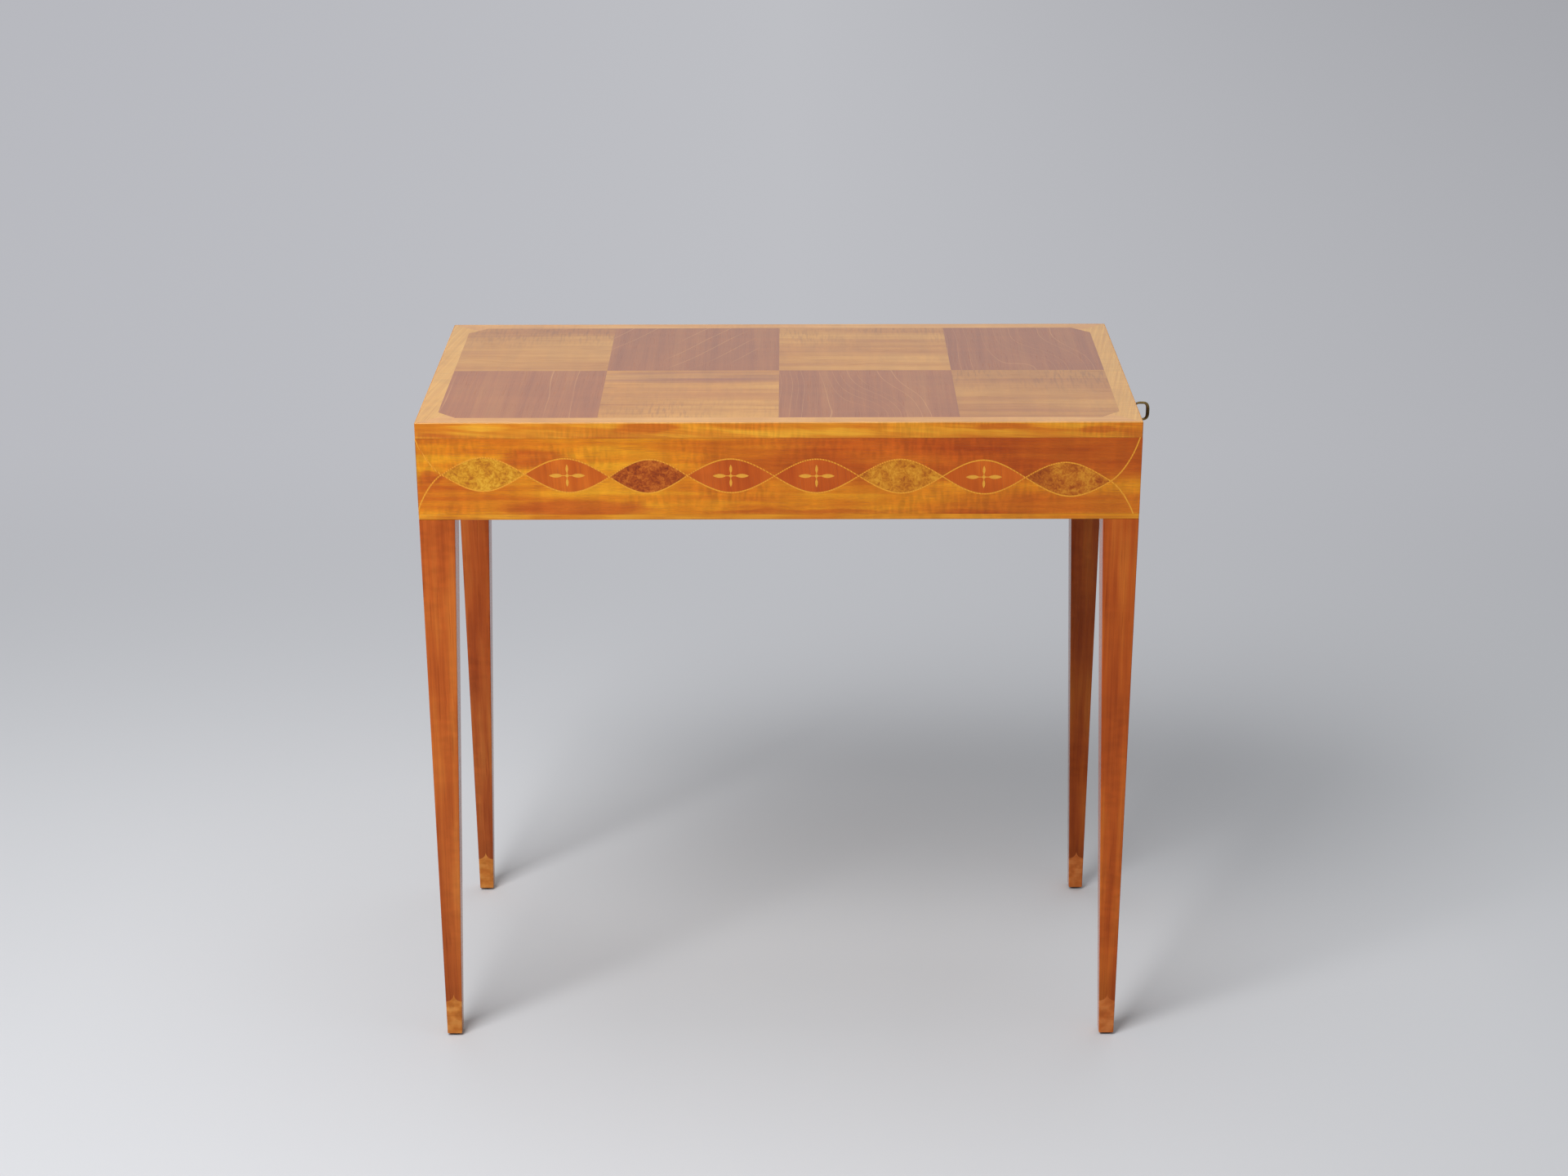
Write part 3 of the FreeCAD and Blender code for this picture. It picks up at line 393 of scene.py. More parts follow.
def frontZones(graph, local, tone, colour):
    # Golden wood at the left that turns red-brown to the right above the chain, with stains and glows.
    x, y, z = local
    spot = stirred(graph, x, z)
    fade = front["levelFade"]
    high = graph.spread(spot[1], chainLevel - fade, chainLevel + fade, front["below"], 1.0)
    red = graph.times(graph.spread(spot[0], front["redFrom"], front["redTo"]), high)
    red = graph.minus(marks(graph, spot, stains, red), marks(graph, spot, glows))
    face = graph.spread(graph.maths("ABSOLUTE", y), halfDepth - front["skin"], halfDepth - front["edge"])
    red = graph.times(red, graph.timesPlus(face, 1 - endRed, endRed))
    warm = graph.mixed(graph.spread(red, 0.0, 1.0), colour, graph.ramp(tone, redBrown))
    shade = graph.patch(spot, *front["shade"], markSoft)
    glow = graph.patch(spot, *front["glow"], markSoft)
    lift = graph.timesPlus(graph.minus(glow, shade), front["contrast"], 1.0)
    warm = graph.lit(warm, lift)
    # The lines at the left and right ends are partly the veneer's end and partly painted corner shade; those
    # along the strip and under the top are joints.
    seams = ((x, caseLeft, seam["left"]), (x, caseRight, seam["right"]), (z, fieldBottom, seam["strip"]),
             (z, topUnder, seam["top"]))
    return graph.mixed(face, warm, seamsAndCornerShade(graph, warm, seams))


# How wide the darkening at each joint is, how strong and of what colour. At the front's left and right ends
# it is partly the veneer's end and partly painted shade at the corner.
seam = {
    "left": 0.0012, "right": 0.0010, "strip": 0.0006, "top": 0.0005, "band": 0.0004, "strength": 0.4,
    "colour": linear(84, 36, 20),
}


def seamsAndCornerShade(graph, colour, seams):
    # Thin dark joints, which at the front's two ends are partly painted shade at the corners: each is a
    # coordinate, where it lies and how wide its darkening is.
    for coordinate, at, wide in seams:
        away = graph.maths("ABSOLUTE", graph.minus(coordinate, at))
        colour = graph.mixed(graph.spread(away, 0.0, wide, seam["strength"], 0.0), colour, seam["colour"])
    return colour


def endZones(graph, local, tone, colour):
    # The end with the drawer is redder than the other one.
    x, y, z = local
    red = graph.times(graph.beyond(x, caseMid), endRed)
    return seamsAndCornerShade(graph, graph.mixed(red, colour, graph.ramp(tone, redBrown)),
                  ((z, fieldBottom, seam["strip"]), (z, topUnder, seam["top"])))


def squarePlace(graph, local):
    # A square's column, from 0 to 3, whether it is in the back row, and the distance from its right edge and
    # from its back edge.
    run = graph.over(graph.minus(local[0], caseLeft), squareSide)
    column = graph.maths("FLOOR", run)
    fromRight = graph.times(graph.minus(graph.plus(column, 1.0), run), squareSide)
    behind = graph.beyond(local[1], 0.0)
    fromBack = graph.minus(graph.times(behind, squareDeep), local[1])
    return column, behind, fromRight, fromBack


def byColumn(graph, column, colour, tints):
    # Each of the four columns of squares in its own tint, partly painted shade where less light falls towards
    # the table's ends, most at the right.
    share = 1 / len(tints)
    stops = [(k * share, tint) for k, tint in enumerate(tints)]
    tint = graph.ramp(graph.timesPlus(column, share, share / 2), stops, "CONSTANT")
    return graph.tinted(colour, tint)


# A Span is from where to where a distance is stretched. The noises are features, as patchy takes them.
lightFigure = {
    "backSpan": (0.02, 0.11), "frontSpan": (0.09, 0.15), "dash": ((330, 34, 1), 0.46, 0.66),
    "uneven": ((9, 12, 1), 0.35, 0.6, 0.25), "dashShade": 0.29, "evenShade": 0.07, "warmth": (0.25, 0.1, 0.0),
    "markAt": (caseMid - squareSide / 2, -0.027), "markReach": (0.125, 0.021), "markSoft": 0.9,
    "streak": ((3, 90, 1), 0.34, 0.56, 0.45), "markStrength": 0.7, "markColour": linear(132, 66, 46),
    # columns: each column's tint, partly painted shade that darkens the two end columns, the right one most.
    "columns": [(0.91, 0.90, 0.94), (1, 1, 1), (0.96, 0.95, 0.95), (0.89, 0.86, 0.85)],
}


def lightZones(graph, local, tone, colour):
    # A ripple darkens each light square near its back edge. The one second from the left in the front row has
    # it near its front edge instead, and a dark purple-brown streak near its back edge.
    look = lightFigure
    column, behind, fromRight, fromBack = squarePlace(graph, local)
    flat = graph.joined(local[0], local[1], 0.0)
    inRows = graph.plus(column, graph.times(behind, 4.0))       # counts on from 4 in the back row
    second = graph.maths("LESS_THAN", inRows, 1.5)
    nearBack = graph.spread(fromBack, *look["backSpan"], 1.0, 0.0)
    nearFront = graph.spread(fromBack, *look["frontSpan"])
    where = graph.chosen(second, nearBack, nearFront)
    shade = graph.times(graph.patchy(flat, look["dash"]), graph.patchy(flat, look["uneven"]))
    shade = graph.times(where, graph.timesPlus(shade, look["dashShade"], look["evenShade"]))
    rippled = graph.mixed(shade, colour, graph.tinted(colour, look["warmth"]))
    mark = graph.patch(local, look["markAt"], look["markReach"], look["markSoft"])
    mark = graph.times(mark, graph.patchy(flat, look["streak"], 2))
    mark = graph.times(mark, look["markStrength"])
    return byColumn(graph, column, graph.mixed(mark, rippled, look["markColour"]), look["columns"])


# Flames are the close growth lines of the two right-hand dark squares.
growth = {
    "swell": (6, 6, 1), "swelling": 0.9, "moreSwelling": 1.9, "swing": 0.058, "swingSpan": (0.165, 0.08),
    "edgeSpan": (0.0, 0.08, 0.5), "backSpan": (0.02, 0.17), "closing": 2.0, "flames": 17.0,
    "lean": -20.0, "lines": 34.0, "flamedPast": 1.5, "wide": 0.035, "wider": 0.010, "often": (9, 6, 1),
    "oftenSpan": (0.75, 1.4, 0.06), "rare": ((9, 3, 1), 0.5, 0.62), "strength": 0.46,
    "colour": linear(226, 166, 100),
    # columns: each column's tint, partly painted shade that darkens and browns the right-hand column.
    "columns": [(1, 1, 1), (0.97, 0.98, 0.96), (0.97, 0.97, 0.95), (0.92, 0.88, 0.82)],
}


def darkZones(graph, local, tone, colour):
    # Pale growth lines: few and nearly straight in the two left squares, leaning in the back one. In the two
    # right ones they swing to the right on their way to the front, and lie ever closer towards the left.
    look = growth
    column, behind, fromRight, fromBack = squarePlace(graph, local)
    flat = graph.joined(local[0], local[1], 0.0)
    swell = graph.minus(graph.noise(flat, look["swell"], 1, 0.4), 0.5)
    inside = graph.spread(fromRight, *look["swingSpan"])
    swing = graph.times(inside, graph.spread(fromRight, *look["edgeSpan"]))
    swing = graph.times(swing, graph.spread(fromBack, *look["backSpan"]))
    away = graph.over(graph.timesPlus(swing, look["swing"], fromRight), squareSide)
    flame = graph.times(graph.maths("POWER", away, look["closing"]), look["flames"])
    lean = graph.times(graph.times(behind, fromBack), look["lean"])
    straight = graph.timesPlus(fromRight, look["lines"], lean)
    flamed = graph.beyond(column, look["flamedPast"])
    climb = graph.chosen(flamed, straight, flame)
    swelling = graph.timesPlus(flamed, look["moreSwelling"], look["swelling"])
    climb = graph.timesPlus(swell, swelling, climb)
    edge = graph.maths("PINGPONG", climb, 0.5)
    pick = graph.add("TexWhiteNoise", "Value", {"W": graph.maths("ROUND", climb)}, noise_dimensions="1D")
    wide = graph.timesPlus(flamed, look["wider"], look["wide"])
    line = graph.spread(graph.over(edge, wide), 0.0, 1.0, 1.0, 0.0)
    rare = graph.patchy(flat, look["rare"])
    often = graph.spread(graph.plus(pick, graph.noise(flat, look["often"], 1)), *look["oftenSpan"])
    strength = graph.times(graph.times(line, graph.chosen(flamed, rare, often)), look["strength"])
    return byColumn(graph, column, graph.mixed(strength, colour, look["colour"]), look["columns"])


# The shade of the crossed lenses from the left, and from where along the rail each one holds.
firstLens = (1.1, 1.3, 1.05)
otherLenses = [(-0.17, (0.97, 0.96, 0.85)), (-0.02, (0.94, 0.89, 0.76)), (0.12, (1.06, 1.15, 0.92))]


def lensZones(graph, local, tone, colour):
    # The four crossed lenses differ: a bright orange one at the left, two redder ones, then an orange one.
    tinted = graph.tinted(colour, firstLens)
    for start, tint in otherLenses:
        past = graph.beyond(local[0], start)
        tinted = graph.mixed(past, tinted, graph.tinted(colour, tint))
    return tinted


bandFace = {"redness": 0.8, "lipFrom": 0.0013, "lipTo": 0.0009}


def bandZones(graph, local, tone, colour):
    # Golden with red patches and paler glows, under the pale edge of the border veneer.
    x, y, z = local
    spot = stirred(graph, x, z)
    red = graph.minus(marks(graph, spot, bandStains), marks(graph, spot, bandGlows))
    redder = graph.times(red, bandFace["redness"])
    shifted = graph.ramp(graph.minus(tone, redder), band["tones"])
    shifted = seamsAndCornerShade(graph, shifted, ((z, topUnder, seam["band"]),))
    lip = graph.spread(z, tableRise - bandFace["lipFrom"], tableRise - bandFace["lipTo"])
    return graph.mixed(lip, shifted, graph.ramp(tone, borderPink["tones"]))


# The tints of the right front leg and of the two back legs are painted shade: these legs get less light.
legShades = {
    "shoeFade": (0.048, 0.095), "darker": 0.10, "darkerRight": 0.12, "dullFade": (0.10, 0.50),
    "dull": (1.0, 1.14, 1.45), "frontRightShade": (0.92, 0.87, 0.80), "backLeftShade": (0.81, 0.77, 0.90),
    "backRightShade": (0.72, 0.68, 0.60),
}


def legZones(graph, local, tone, colour):
    # Painted shade: the back legs are darker than the front ones, in the table top's shadow, the right one
    # the most, and the right ones, which get less light, are darker and browner.
    # The left ones turn duller towards the foot, and all darken just above the shoe, the right ones more.
    look = legShades
    right = graph.beyond(local[0], caseMid)
    low = graph.spread(local[2], *look["shoeFade"], 1.0, 0.0)
    darker = graph.times(low, graph.timesPlus(right, look["darkerRight"], look["darker"]))
    colour = graph.lit(colour, graph.minus(1.0, darker))
    duller = graph.spread(local[2], *look["dullFade"], 1.0, 0.0)
    duller = graph.times(duller, graph.minus(1.0, right))
    colour = graph.mixed(duller, colour, graph.tinted(colour, look["dull"]))
    behind = graph.beyond(local[1], 0.0)
    # Painted shade: a darker, browner right front leg, and darker back legs under the table top.
    frontLeg = graph.mixed(right, colour, graph.tinted(colour, look["frontRightShade"]))
    tint = graph.mixed(right, look["backLeftShade"], look["backRightShade"])
    return graph.mixed(behind, frontLeg, graph.tinted(colour, tint))


rightShoe = (0.97, 0.78, 0.92)


def shoeZones(graph, local, tone, colour):
    # The right shoes are redder than the left ones.
    right = graph.beyond(local[0], caseMid)
    return graph.mixed(right, colour, graph.tinted(colour, rightShoe))


materials = {
    "fieldFront": wood("golden_field_front", "XZY", golden, frontZones),
    "fieldEnds": wood("golden_field_ends", "YZX", {**golden, "log": (0.7, 0.3, 0.0)}, endZones),
    "lightSquares": wood("light_squares_polished", "XYZ", lightSquare, lightZones),
    "darkSquares": wood("dark_squares_polished", "YXZ", darkSquare, darkZones),
    "borderLong": wood("border_long", "XYZ", borderPink),
    "borderShort": wood("border_short", "YXZ", borderGold),
    "bandLong": wood("edge_band_long", "XZY", band, bandZones),
    "bandShort": wood("edge_band_short", "YZX", band, bandZones),
    "leg": wood("leg_mahogany_polished", "ZXY", mahogany, legZones),
    "shoe": wood("shoe_veneer_polished", "RZO", shoeWood, shoeZones),
    "stripLong": wood("strip_long", "XZY", stripWood),
    "stripShort": wood("strip_short", "YZX", stripWood),
    "carcassLong": wood("carcass_long", "XYZ", carcass),
    "carcassShort": wood("carcass_short", "YXZ", carcass),
    "ply": wood("plywood_face", "XYZ", plyFace),
    "lens": wood("lens_veneer_polished", "ZXY", lensWood, lensZones),
    "lensEnds": wood("lens_veneer_ends", "ZYX", lensWood),
}
print("woods ready:", len(materials))

curls = {
    "folds": (120, 120, 120), "fold": (0.012, 0.012, 0.012), "curl": ((330, 330, 330), 0.3, 0.7),
    "cloud": ((60, 60, 60), 0.32, 0.68), "curly": 0.6, "eyes": (105, 105, 105), "eyeFold": (0.6, 0.6, 0.6),
    "eye": (0.12, 0.42, 1.0, 0.0), "rim": (0.42, 0.60, 1.0, 0.0), "groups": ((45, 45, 45), 0.40, 0.60),
    "eyeDark": -0.32, "rimPale": 0.18, "blend": 0.004, "rough": 0.24, "relief": 0.00002, "gloss": 0.3,
}


def varnished(graph, colour, height, look):
    # Varnish that is equally glossy all over.
    fixed = {"IOR": polish["index"], "Specular IOR Level": look["gloss"]}
    return graph.finish(colour, look["rough"], height, look["relief"], **fixed)


def burl(name, order, shades):
    # Burl: fine curls folded over themselves, and round brown eyes with pale rims. shades gives the tones
    # along the first axis: from where, and which.
    look = curls
    graph = Graph(name)
    local = graph.local()
    place = graph.joined(*[local["XYZ".index(axis)] for axis in order])
    fold = graph.scaled(graph.noise(place, look["folds"], 2, 0.5, "Color"), look["fold"])
    folded = graph.moved(place, fold)
    curl = graph.patchy(folded, look["curl"], 3, 0.6)
    cloud = graph.patchy(place, look["cloud"], 2)
    tone = graph.timesPlus(graph.minus(curl, cloud), look["curly"], cloud)
    bent = graph.moved(place, graph.scaled(fold, look["eyeFold"]))
    cell = graph.add("TexVoronoi", "Distance", {"Vector": graph.scaled(bent, look["eyes"]), "Scale": 1.0},
                     feature="SMOOTH_F1")
    eye = graph.spread(cell, *look["eye"])
    rim = graph.minus(graph.spread(cell, *look["rim"]), eye)
    some = graph.patchy(place, look["groups"])
    tone = graph.timesPlus(graph.times(eye, some), look["eyeDark"], tone)
    tone = graph.timesPlus(graph.times(rim, some), look["rimPale"], tone)
    across = local["XYZ".index(order[0])]
    colour = graph.ramp(tone, shades[0][1])
    for start, stops in shades[1:]:
        past = graph.spread(across, start - look["blend"], start + look["blend"])
        colour = graph.mixed(past, colour, graph.ramp(tone, stops))
    return varnished(graph, colour, curl, look)


oliveBurl = tones((172, 92, 14), (210, 140, 24), (230, 172, 48))
redBurl = tones((122, 42, 6), (168, 74, 12), (204, 112, 32))
goldBurl = tones((166, 82, 12), (202, 124, 22), (222, 154, 40))
ochreBurl = tones((156, 68, 10), (190, 104, 20), (214, 140, 36))
brownBurl = tones((138, 58, 8), (174, 86, 14), (200, 118, 28))
frontBurls = [(-1, oliveBurl), (-0.25, redBurl), (-0.05, goldBurl), (0.22, brownBurl), (0.285, ochreBurl)]
backBurls = [(-1, ochreBurl), (-0.318, brownBurl), (-0.24, goldBurl), (0.04, redBurl), (0.22, oliveBurl)]
materials["burlFront"] = burl("burl_front", "XZY", frontBurls)
materials["burlBack"] = burl("burl_back", "XZY", backBurls)

stringing = {
    "slip": 0.0029, "slant": 0.35, "slipSpan": (-0.4, 0.5), "fade": ((14, 30, 1), 0.35, 0.6, 0.2, 0.9),
    "lowFrom": -0.012, "lowTo": 0.006, "low": 0.45, "petalLong": 0.0215,
    "petalHigh": 0.0137, "pale": linear(236, 162, 46), "dark": linear(206, 112, 22),
    "petal": linear(230, 162, 54), "grain": (300, 900, 900), "grainSpan": (0.3, 0.7), "shade": (0.92, 1.06),
    "rough": 0.24, "relief": 0.00002, "gloss": 0.3,
}


def rope(name, order, flowers):
    # Stringing made of slips of pale and darker wood, clearest on the upper arcs, and the flowers' plain pale
    # petals. flowers gives the middle of each along the rail and above the chain's level.
    look = stringing
    graph = Graph(name)
    local = graph.local()
    x, z, deep = [local["XYZ".index(axis)] for axis in order]
    slanted = graph.timesPlus(z, look["slant"], x)
    slip = graph.maths("SINE", graph.times(slanted, 2 * math.pi / look["slip"]))
    fade = graph.patchy(graph.joined(x, z, 0.0), look["fade"])
    upper = graph.spread(z, chainLevel + look["lowFrom"], chainLevel + look["lowTo"], look["low"], 1.0)
    fade = graph.times(fade, upper)
    petal = 0.0
    for along, above in flowers:
        beside = graph.over(graph.minus(x, along), look["petalLong"])
        up = graph.over(graph.minus(z, chainLevel + above), look["petalHigh"])
        reach = graph.maths("MAXIMUM", graph.maths("ABSOLUTE", beside), graph.maths("ABSOLUTE", up))
        petal = graph.maths("MAXIMUM", petal, graph.maths("LESS_THAN", reach, 1.0))
    share = graph.times(graph.spread(slip, *look["slipSpan"]), fade)
    share = graph.times(share, graph.minus(1.0, petal))
    pale = graph.mixed(petal, look["pale"], look["petal"])
    colour = graph.mixed(share, pale, look["dark"])
    grain = graph.noise(graph.joined(x, z, deep), look["grain"], 2)
    lit = graph.lit(colour, graph.spread(grain, *look["grainSpan"], *look["shade"]))
    return varnished(graph, lit, grain, look)


longFlowers = [(-0.2338, 0.0012), (-0.0530, 0.0006), (0.0417, 0.0003), (0.2266, -0.0012)]
endFlowers = [(-0.0424, 0.0), (0.0424, 0.0)]
materials["stringFront"] = rope("boxwood_string_front", "XZY", [(caseMid + at, up) for at, up in longFlowers])
materials["stringBack"] = rope("boxwood_string_back", "XZY", [(caseMid - at, up) for at, up in longFlowers])
materials["stringEnds"] = rope("boxwood_string_ends", "YZX", endFlowers)

tarnish = {"stain": (0.42, 0.62), "duller": 0.25, "scratches": (300, 2200, 2200), "relief": 0.00002}


def metal(name, clean, stained, rough, spots):
    # Metal stained in patches, with fine scratches along X. spots is how many patches lie in a metre.
    graph = Graph(name)
    place = graph.joined(*graph.local())
    stain = graph.patchy(place, ((spots, spots, spots), *tarnish["stain"]), 4, 0.65)
    scratch = graph.noise(place, tarnish["scratches"], 2)
    colour = graph.mixed(stain, linear(*clean), linear(*stained))
    gloss = graph.spread(stain, 0.0, 1.0, rough, rough + tarnish["duller"])
    return graph.finish(colour, gloss, scratch, tarnish["relief"], Metallic=1.0)


materials["keyBrass"] = metal("key_brass_aged", (140, 116, 70), (80, 64, 38), 0.2, 90)
materials["lockBrass"] = metal("lock_brass_satin", (212, 176, 104), (158, 122, 66), 0.3, 120)
materials["steel"] = metal("screw_steel_zinc", (190, 192, 196), (140, 140, 142), 0.32, 400)

glidePlastic = {
    "grain": (1500, 1500, 1500), "dark": linear(30, 24, 20), "pale": linear(42, 34, 28), "rough": 0.45,
    "relief": 0.00004, "index": 1.46,
}


def plastic():
    # Moulded plastic with a fine, even grain.
    look = glidePlastic
    graph = Graph("glide_plastic_moulded")
    place = graph.joined(*graph.local())
    grain = graph.noise(place, look["grain"], 2)
    colour = graph.mixed(grain, look["dark"], look["pale"])
    return graph.finish(colour, look["rough"], grain, look["relief"], IOR=look["index"])


materials["glide"] = plastic()
print("materials ready:", len(materials))


def shell(rings, torus=False):
    # Rings of points carried along a path: quads between neighbours, and an end face on the first and the
    # last ring unless they meet. The faces are turned so that the enclosed volume is positive.
    count, around = rings.shape[:2]
    index = np.arange(count * around).reshape(count, around)
    here = index if torus else index[:-1]
    there = np.roll(index, -1, 0) if torus else index[1:]
    quads = np.stack([here, np.roll(here, -1, 1), np.roll(there, -1, 1), there], -1).reshape(-1, 4)
    points = rings.reshape(-1, 3)
    corner = [points[quads[:, k]] - points.mean(0) for k in range(4)]
    volume = sum(np.einsum("ij,ij->", corner[0], np.cross(corner[k], corner[k + 1])) for k in (1, 2))
    faces = quads.tolist()
    if not torus:
        faces += [index[0, ::-1].tolist(), index[-1].tolist()]
        for ring, way in ((rings[0], -1), (rings[-1], 1)):
            fan = ring - points.mean(0)
            volume += way * np.einsum("j,ij->", fan[0], np.cross(fan[1:-1], fan[2:]))
    return points, faces if volume > 0 else [face[::-1] for face in faces]


sharpAngle = math.radians(35)      # edges steeper than this stay crisp


def makePiece(name, shells, body, material, stands):
    # One mesh of the given shells, riding on a body in place of the nodes it stands for.
    starts = np.cumsum([0] + [len(points) for points, faces in shells])
    faces = [[corner + int(start) for corner in face]
             for start, (points, own) in zip(starts, shells) for face in own]
    mesh = bpy.data.meshes.new(name)
    mesh.from_pydata(np.concatenate([points for points, own in shells]).tolist(), [], faces)
    mesh.shade_smooth()
    mesh.set_sharp_from_angle(angle=sharpAngle)
    mesh.materials.append(material)
    piece = placed(name, mesh)
    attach(piece, body)
    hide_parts(*stands)


# Numbers of points, how they gather at a corner, and how far they fan out inside it.
outline = {"corner": 5, "between": 12, "gather": 0.8, "fan": 0.4, "ease": 6}


def outlineSide(name, thick, corner):
    # One side of the case's outline, from the middle of one rounded corner to the middle of the next:
    # outer points on the wall, and inner points at the given thickness behind them.
    turn = {"front": 0, "right": 1, "back": 2, "left": 3}[name]
    along = np.array([(1, 0), (0, 1), (-1, 0), (0, -1)][turn], float)
    inward = np.array([-along[1], along[0]])
    middle = np.array([caseMid, 0.0])
    half = np.array([(caseRight - caseLeft) / 2, halfDepth])
    first = middle - (along + inward) * half
    last = middle + (along - inward) * half
    angle = np.radians(np.linspace(45, 0, outline["corner"]))[:, None]
    share = np.linspace(0, 1, outline["corner"])[:, None] ** outline["gather"]
    outer = {}
    inner = {}
    for part, tip, way in (("first", first, 1), ("last", last, -1)):
        centre = tip + (way * along + inward) * corner
        outer[part] = centre - corner * (np.cos(angle) * inward + way * np.sin(angle) * along)
        inner[part] = tip + inward * thick + way * along * (thick + share * corner * outline["fan"])
    middles = np.linspace(0, 1, outline["between"] + 2)[1:-1, None]
    outerMiddle = outer["first"][-1] + (outer["last"][-1] - outer["first"][-1]) * middles
    innerMiddle = inner["first"][-1] + (inner["last"][-1] - inner["first"][-1]) * middles
    outer = np.concatenate([outer["first"], outerMiddle, outer["last"][::-1]])
    inner = np.concatenate([inner["first"], innerMiddle, inner["last"][::-1]])
    return outer, inner


def moulding(name, thick, corner, profile):
    # A profile of (share of the thickness, height) carried along one side of the case.
    outer, inner = outlineSide(name, thick, corner)
    flat = outer[:, None] + profile[None, :, :1] * (inner - outer)[:, None]
    high = np.broadcast_to(profile[None, :, 1:], (*flat.shape[:2], 1))
    return shell(np.concatenate([flat, high], -1))


def eased(low, high, thick, lowRound, highRound):
    # A plain section whose two outer corners are quarter circles, as (share of the thickness, height).
    turn = np.radians(np.linspace(0, 90, outline["ease"]))
    down = np.stack([lowRound * (1 - np.sin(turn)) / thick, low + lowRound * (1 - np.cos(turn))], -1)
    up = np.stack([highRound * (1 - np.cos(turn)) / thick, high - highRound * (1 - np.sin(turn))], -1)
    return np.concatenate([[[1.0, low]], down, up, [[1.0, high]]])


edgeBand = {"arris": 0.0009, "under": 0.00015, "corner": 0.0011}
bandThick = bandHigh.y - bandLow.y
bandProfile = eased(topUnder, tableRise, bandThick, edgeBand["under"], edgeBand["arris"])
strip = {"under": 0.0010, "above": 0.00015, "corner": 0.0011}
stripThick = stripHigh.y - stripLow.y
stripProfile = eased(caseBottom, fieldBottom, stripThick, strip["under"], strip["above"])
for side in ("front", "back", "left", "right"):
    long = side in depths
    makePiece(f"edgeBand_{side}", [moulding(side, bandThick, edgeBand["corner"], bandProfile)], "case",
              materials["bandLong" if long else "bandShort"], [f"edge_band_{side}"])
    makePiece(f"strip_{side}_eased", [moulding(side, stripThick, strip["corner"], stripProfile)], "case",
              materials["stripLong" if long else "stripShort"], [f"strip_{side}"])
print("edge bands and strips made")

leg = {
    "top": 0.040, "foot": 0.0175, "lean": 0.002, "round": 0.0009, "wall": 0.022, "sink": 0.0008,
    "shoulder": 0.0465, "tip": 0.0555, "handle": (0.85, 0.1), "aboveTip": 0.004, "rows": 8, "postRows": 3,
    "perSide": 17, "perCorner": 4, "gather": 1.2, "shoeArris": 0.0004,
}
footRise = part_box("leg_shoes")[0].z


def roundedSquare(perSide, perCorner):
    # A square's outline from -1 to 1 with the direction in which each point is rounded, and how near it is
    # to the middle of its side: 1 there and 0 in the corners.
    share = np.linspace(-1, 1, perSide)
    share = np.sign(share) * np.abs(share) ** leg["gather"]
    turn = np.radians(np.linspace(-90, 0, perCorner + 2)[1:-1])
    square, way, near = [], [], []
    for quarter in range(4):
        spin = np.array([[math.cos(quarter * math.pi / 2), math.sin(quarter * math.pi / 2)],
                         [-math.sin(quarter * math.pi / 2), math.cos(quarter * math.pi / 2)]])
        flat = np.stack([share, -np.ones(perSide)], -1)
        edge = np.tile([[1.0, -1.0]], (perCorner, 1))
        square.append(np.concatenate([flat, edge]) @ spin)
        out = np.tile([[0.0, -1.0]], (perSide, 1))
        way.append(np.concatenate([out, np.stack([np.cos(turn), np.sin(turn)], -1)]) @ spin)
        near.append(np.concatenate([1 - np.abs(share), np.zeros(perCorner)]))
    return np.concatenate(square), np.concatenate(way), np.concatenate(near)


legSquare, legWay, legNear = roundedSquare(leg["perSide"], leg["perCorner"])


def shoeTop():
    # Height of the shoe's upper edge: two hollow curves of the second degree that meet in a point. Each goes
    # from the corner to the point by 2 h s (1 - s) + s ** 2, across and up, where h is the handle's place.
    across, up = leg["handle"]
    bend = 2 * across - 1
    step = (across - np.sqrt(np.maximum(across ** 2 - bend * legNear, 0))) / bend
    return leg["shoulder"] + (leg["tip"] - leg["shoulder"]) * (2 * up * step * (1 - step) + step ** 2)


def cornerPlace(end, side, inset):
    # A place on the corner's diagonal, so far in from the end and from the side.
    signs = np.array([1 if end == "left" else -1, 1 if side == "front" else -1])
    return np.array([ends[end], depths[side]]) + signs * inset


def legRing(end, side, high, sink):
    # The leg's rounded square at a height for each point, drawn in by sink. It tapers from top to foot
    # while its outer faces lean in.
    share = (caseBottom - high) / (caseBottom - footRise)
    near = leg["lean"] * share
    far = leg["top"] + (leg["lean"] + leg["foot"] - leg["top"]) * share
    half = (far - near) / 2 - sink - leg["round"]
    centre = cornerPlace(end, side, ((near + far) / 2)[:, None])
    flat = centre + legSquare * half[:, None] + legWay * leg["round"]
    return np.concatenate([flat, high[:, None]], -1)


def postShell(end, side):
    # The post inside the case's corner, from the wall to the leg's inner faces.
    half = (leg["top"] - leg["wall"]) / 2
    centre = cornerPlace(end, side, leg["wall"] + half)
    flat = centre + legSquare * (half - leg["round"]) + legWay * leg["round"]
    return prism(flat, np.linspace(caseBottom, topUnder, leg["postRows"]))


def prism(flat, heights):
    # One flat outline, repeated at each height.
    return shell(np.stack([np.concatenate([flat, np.full((len(flat), 1), high)], -1) for high in heights]))


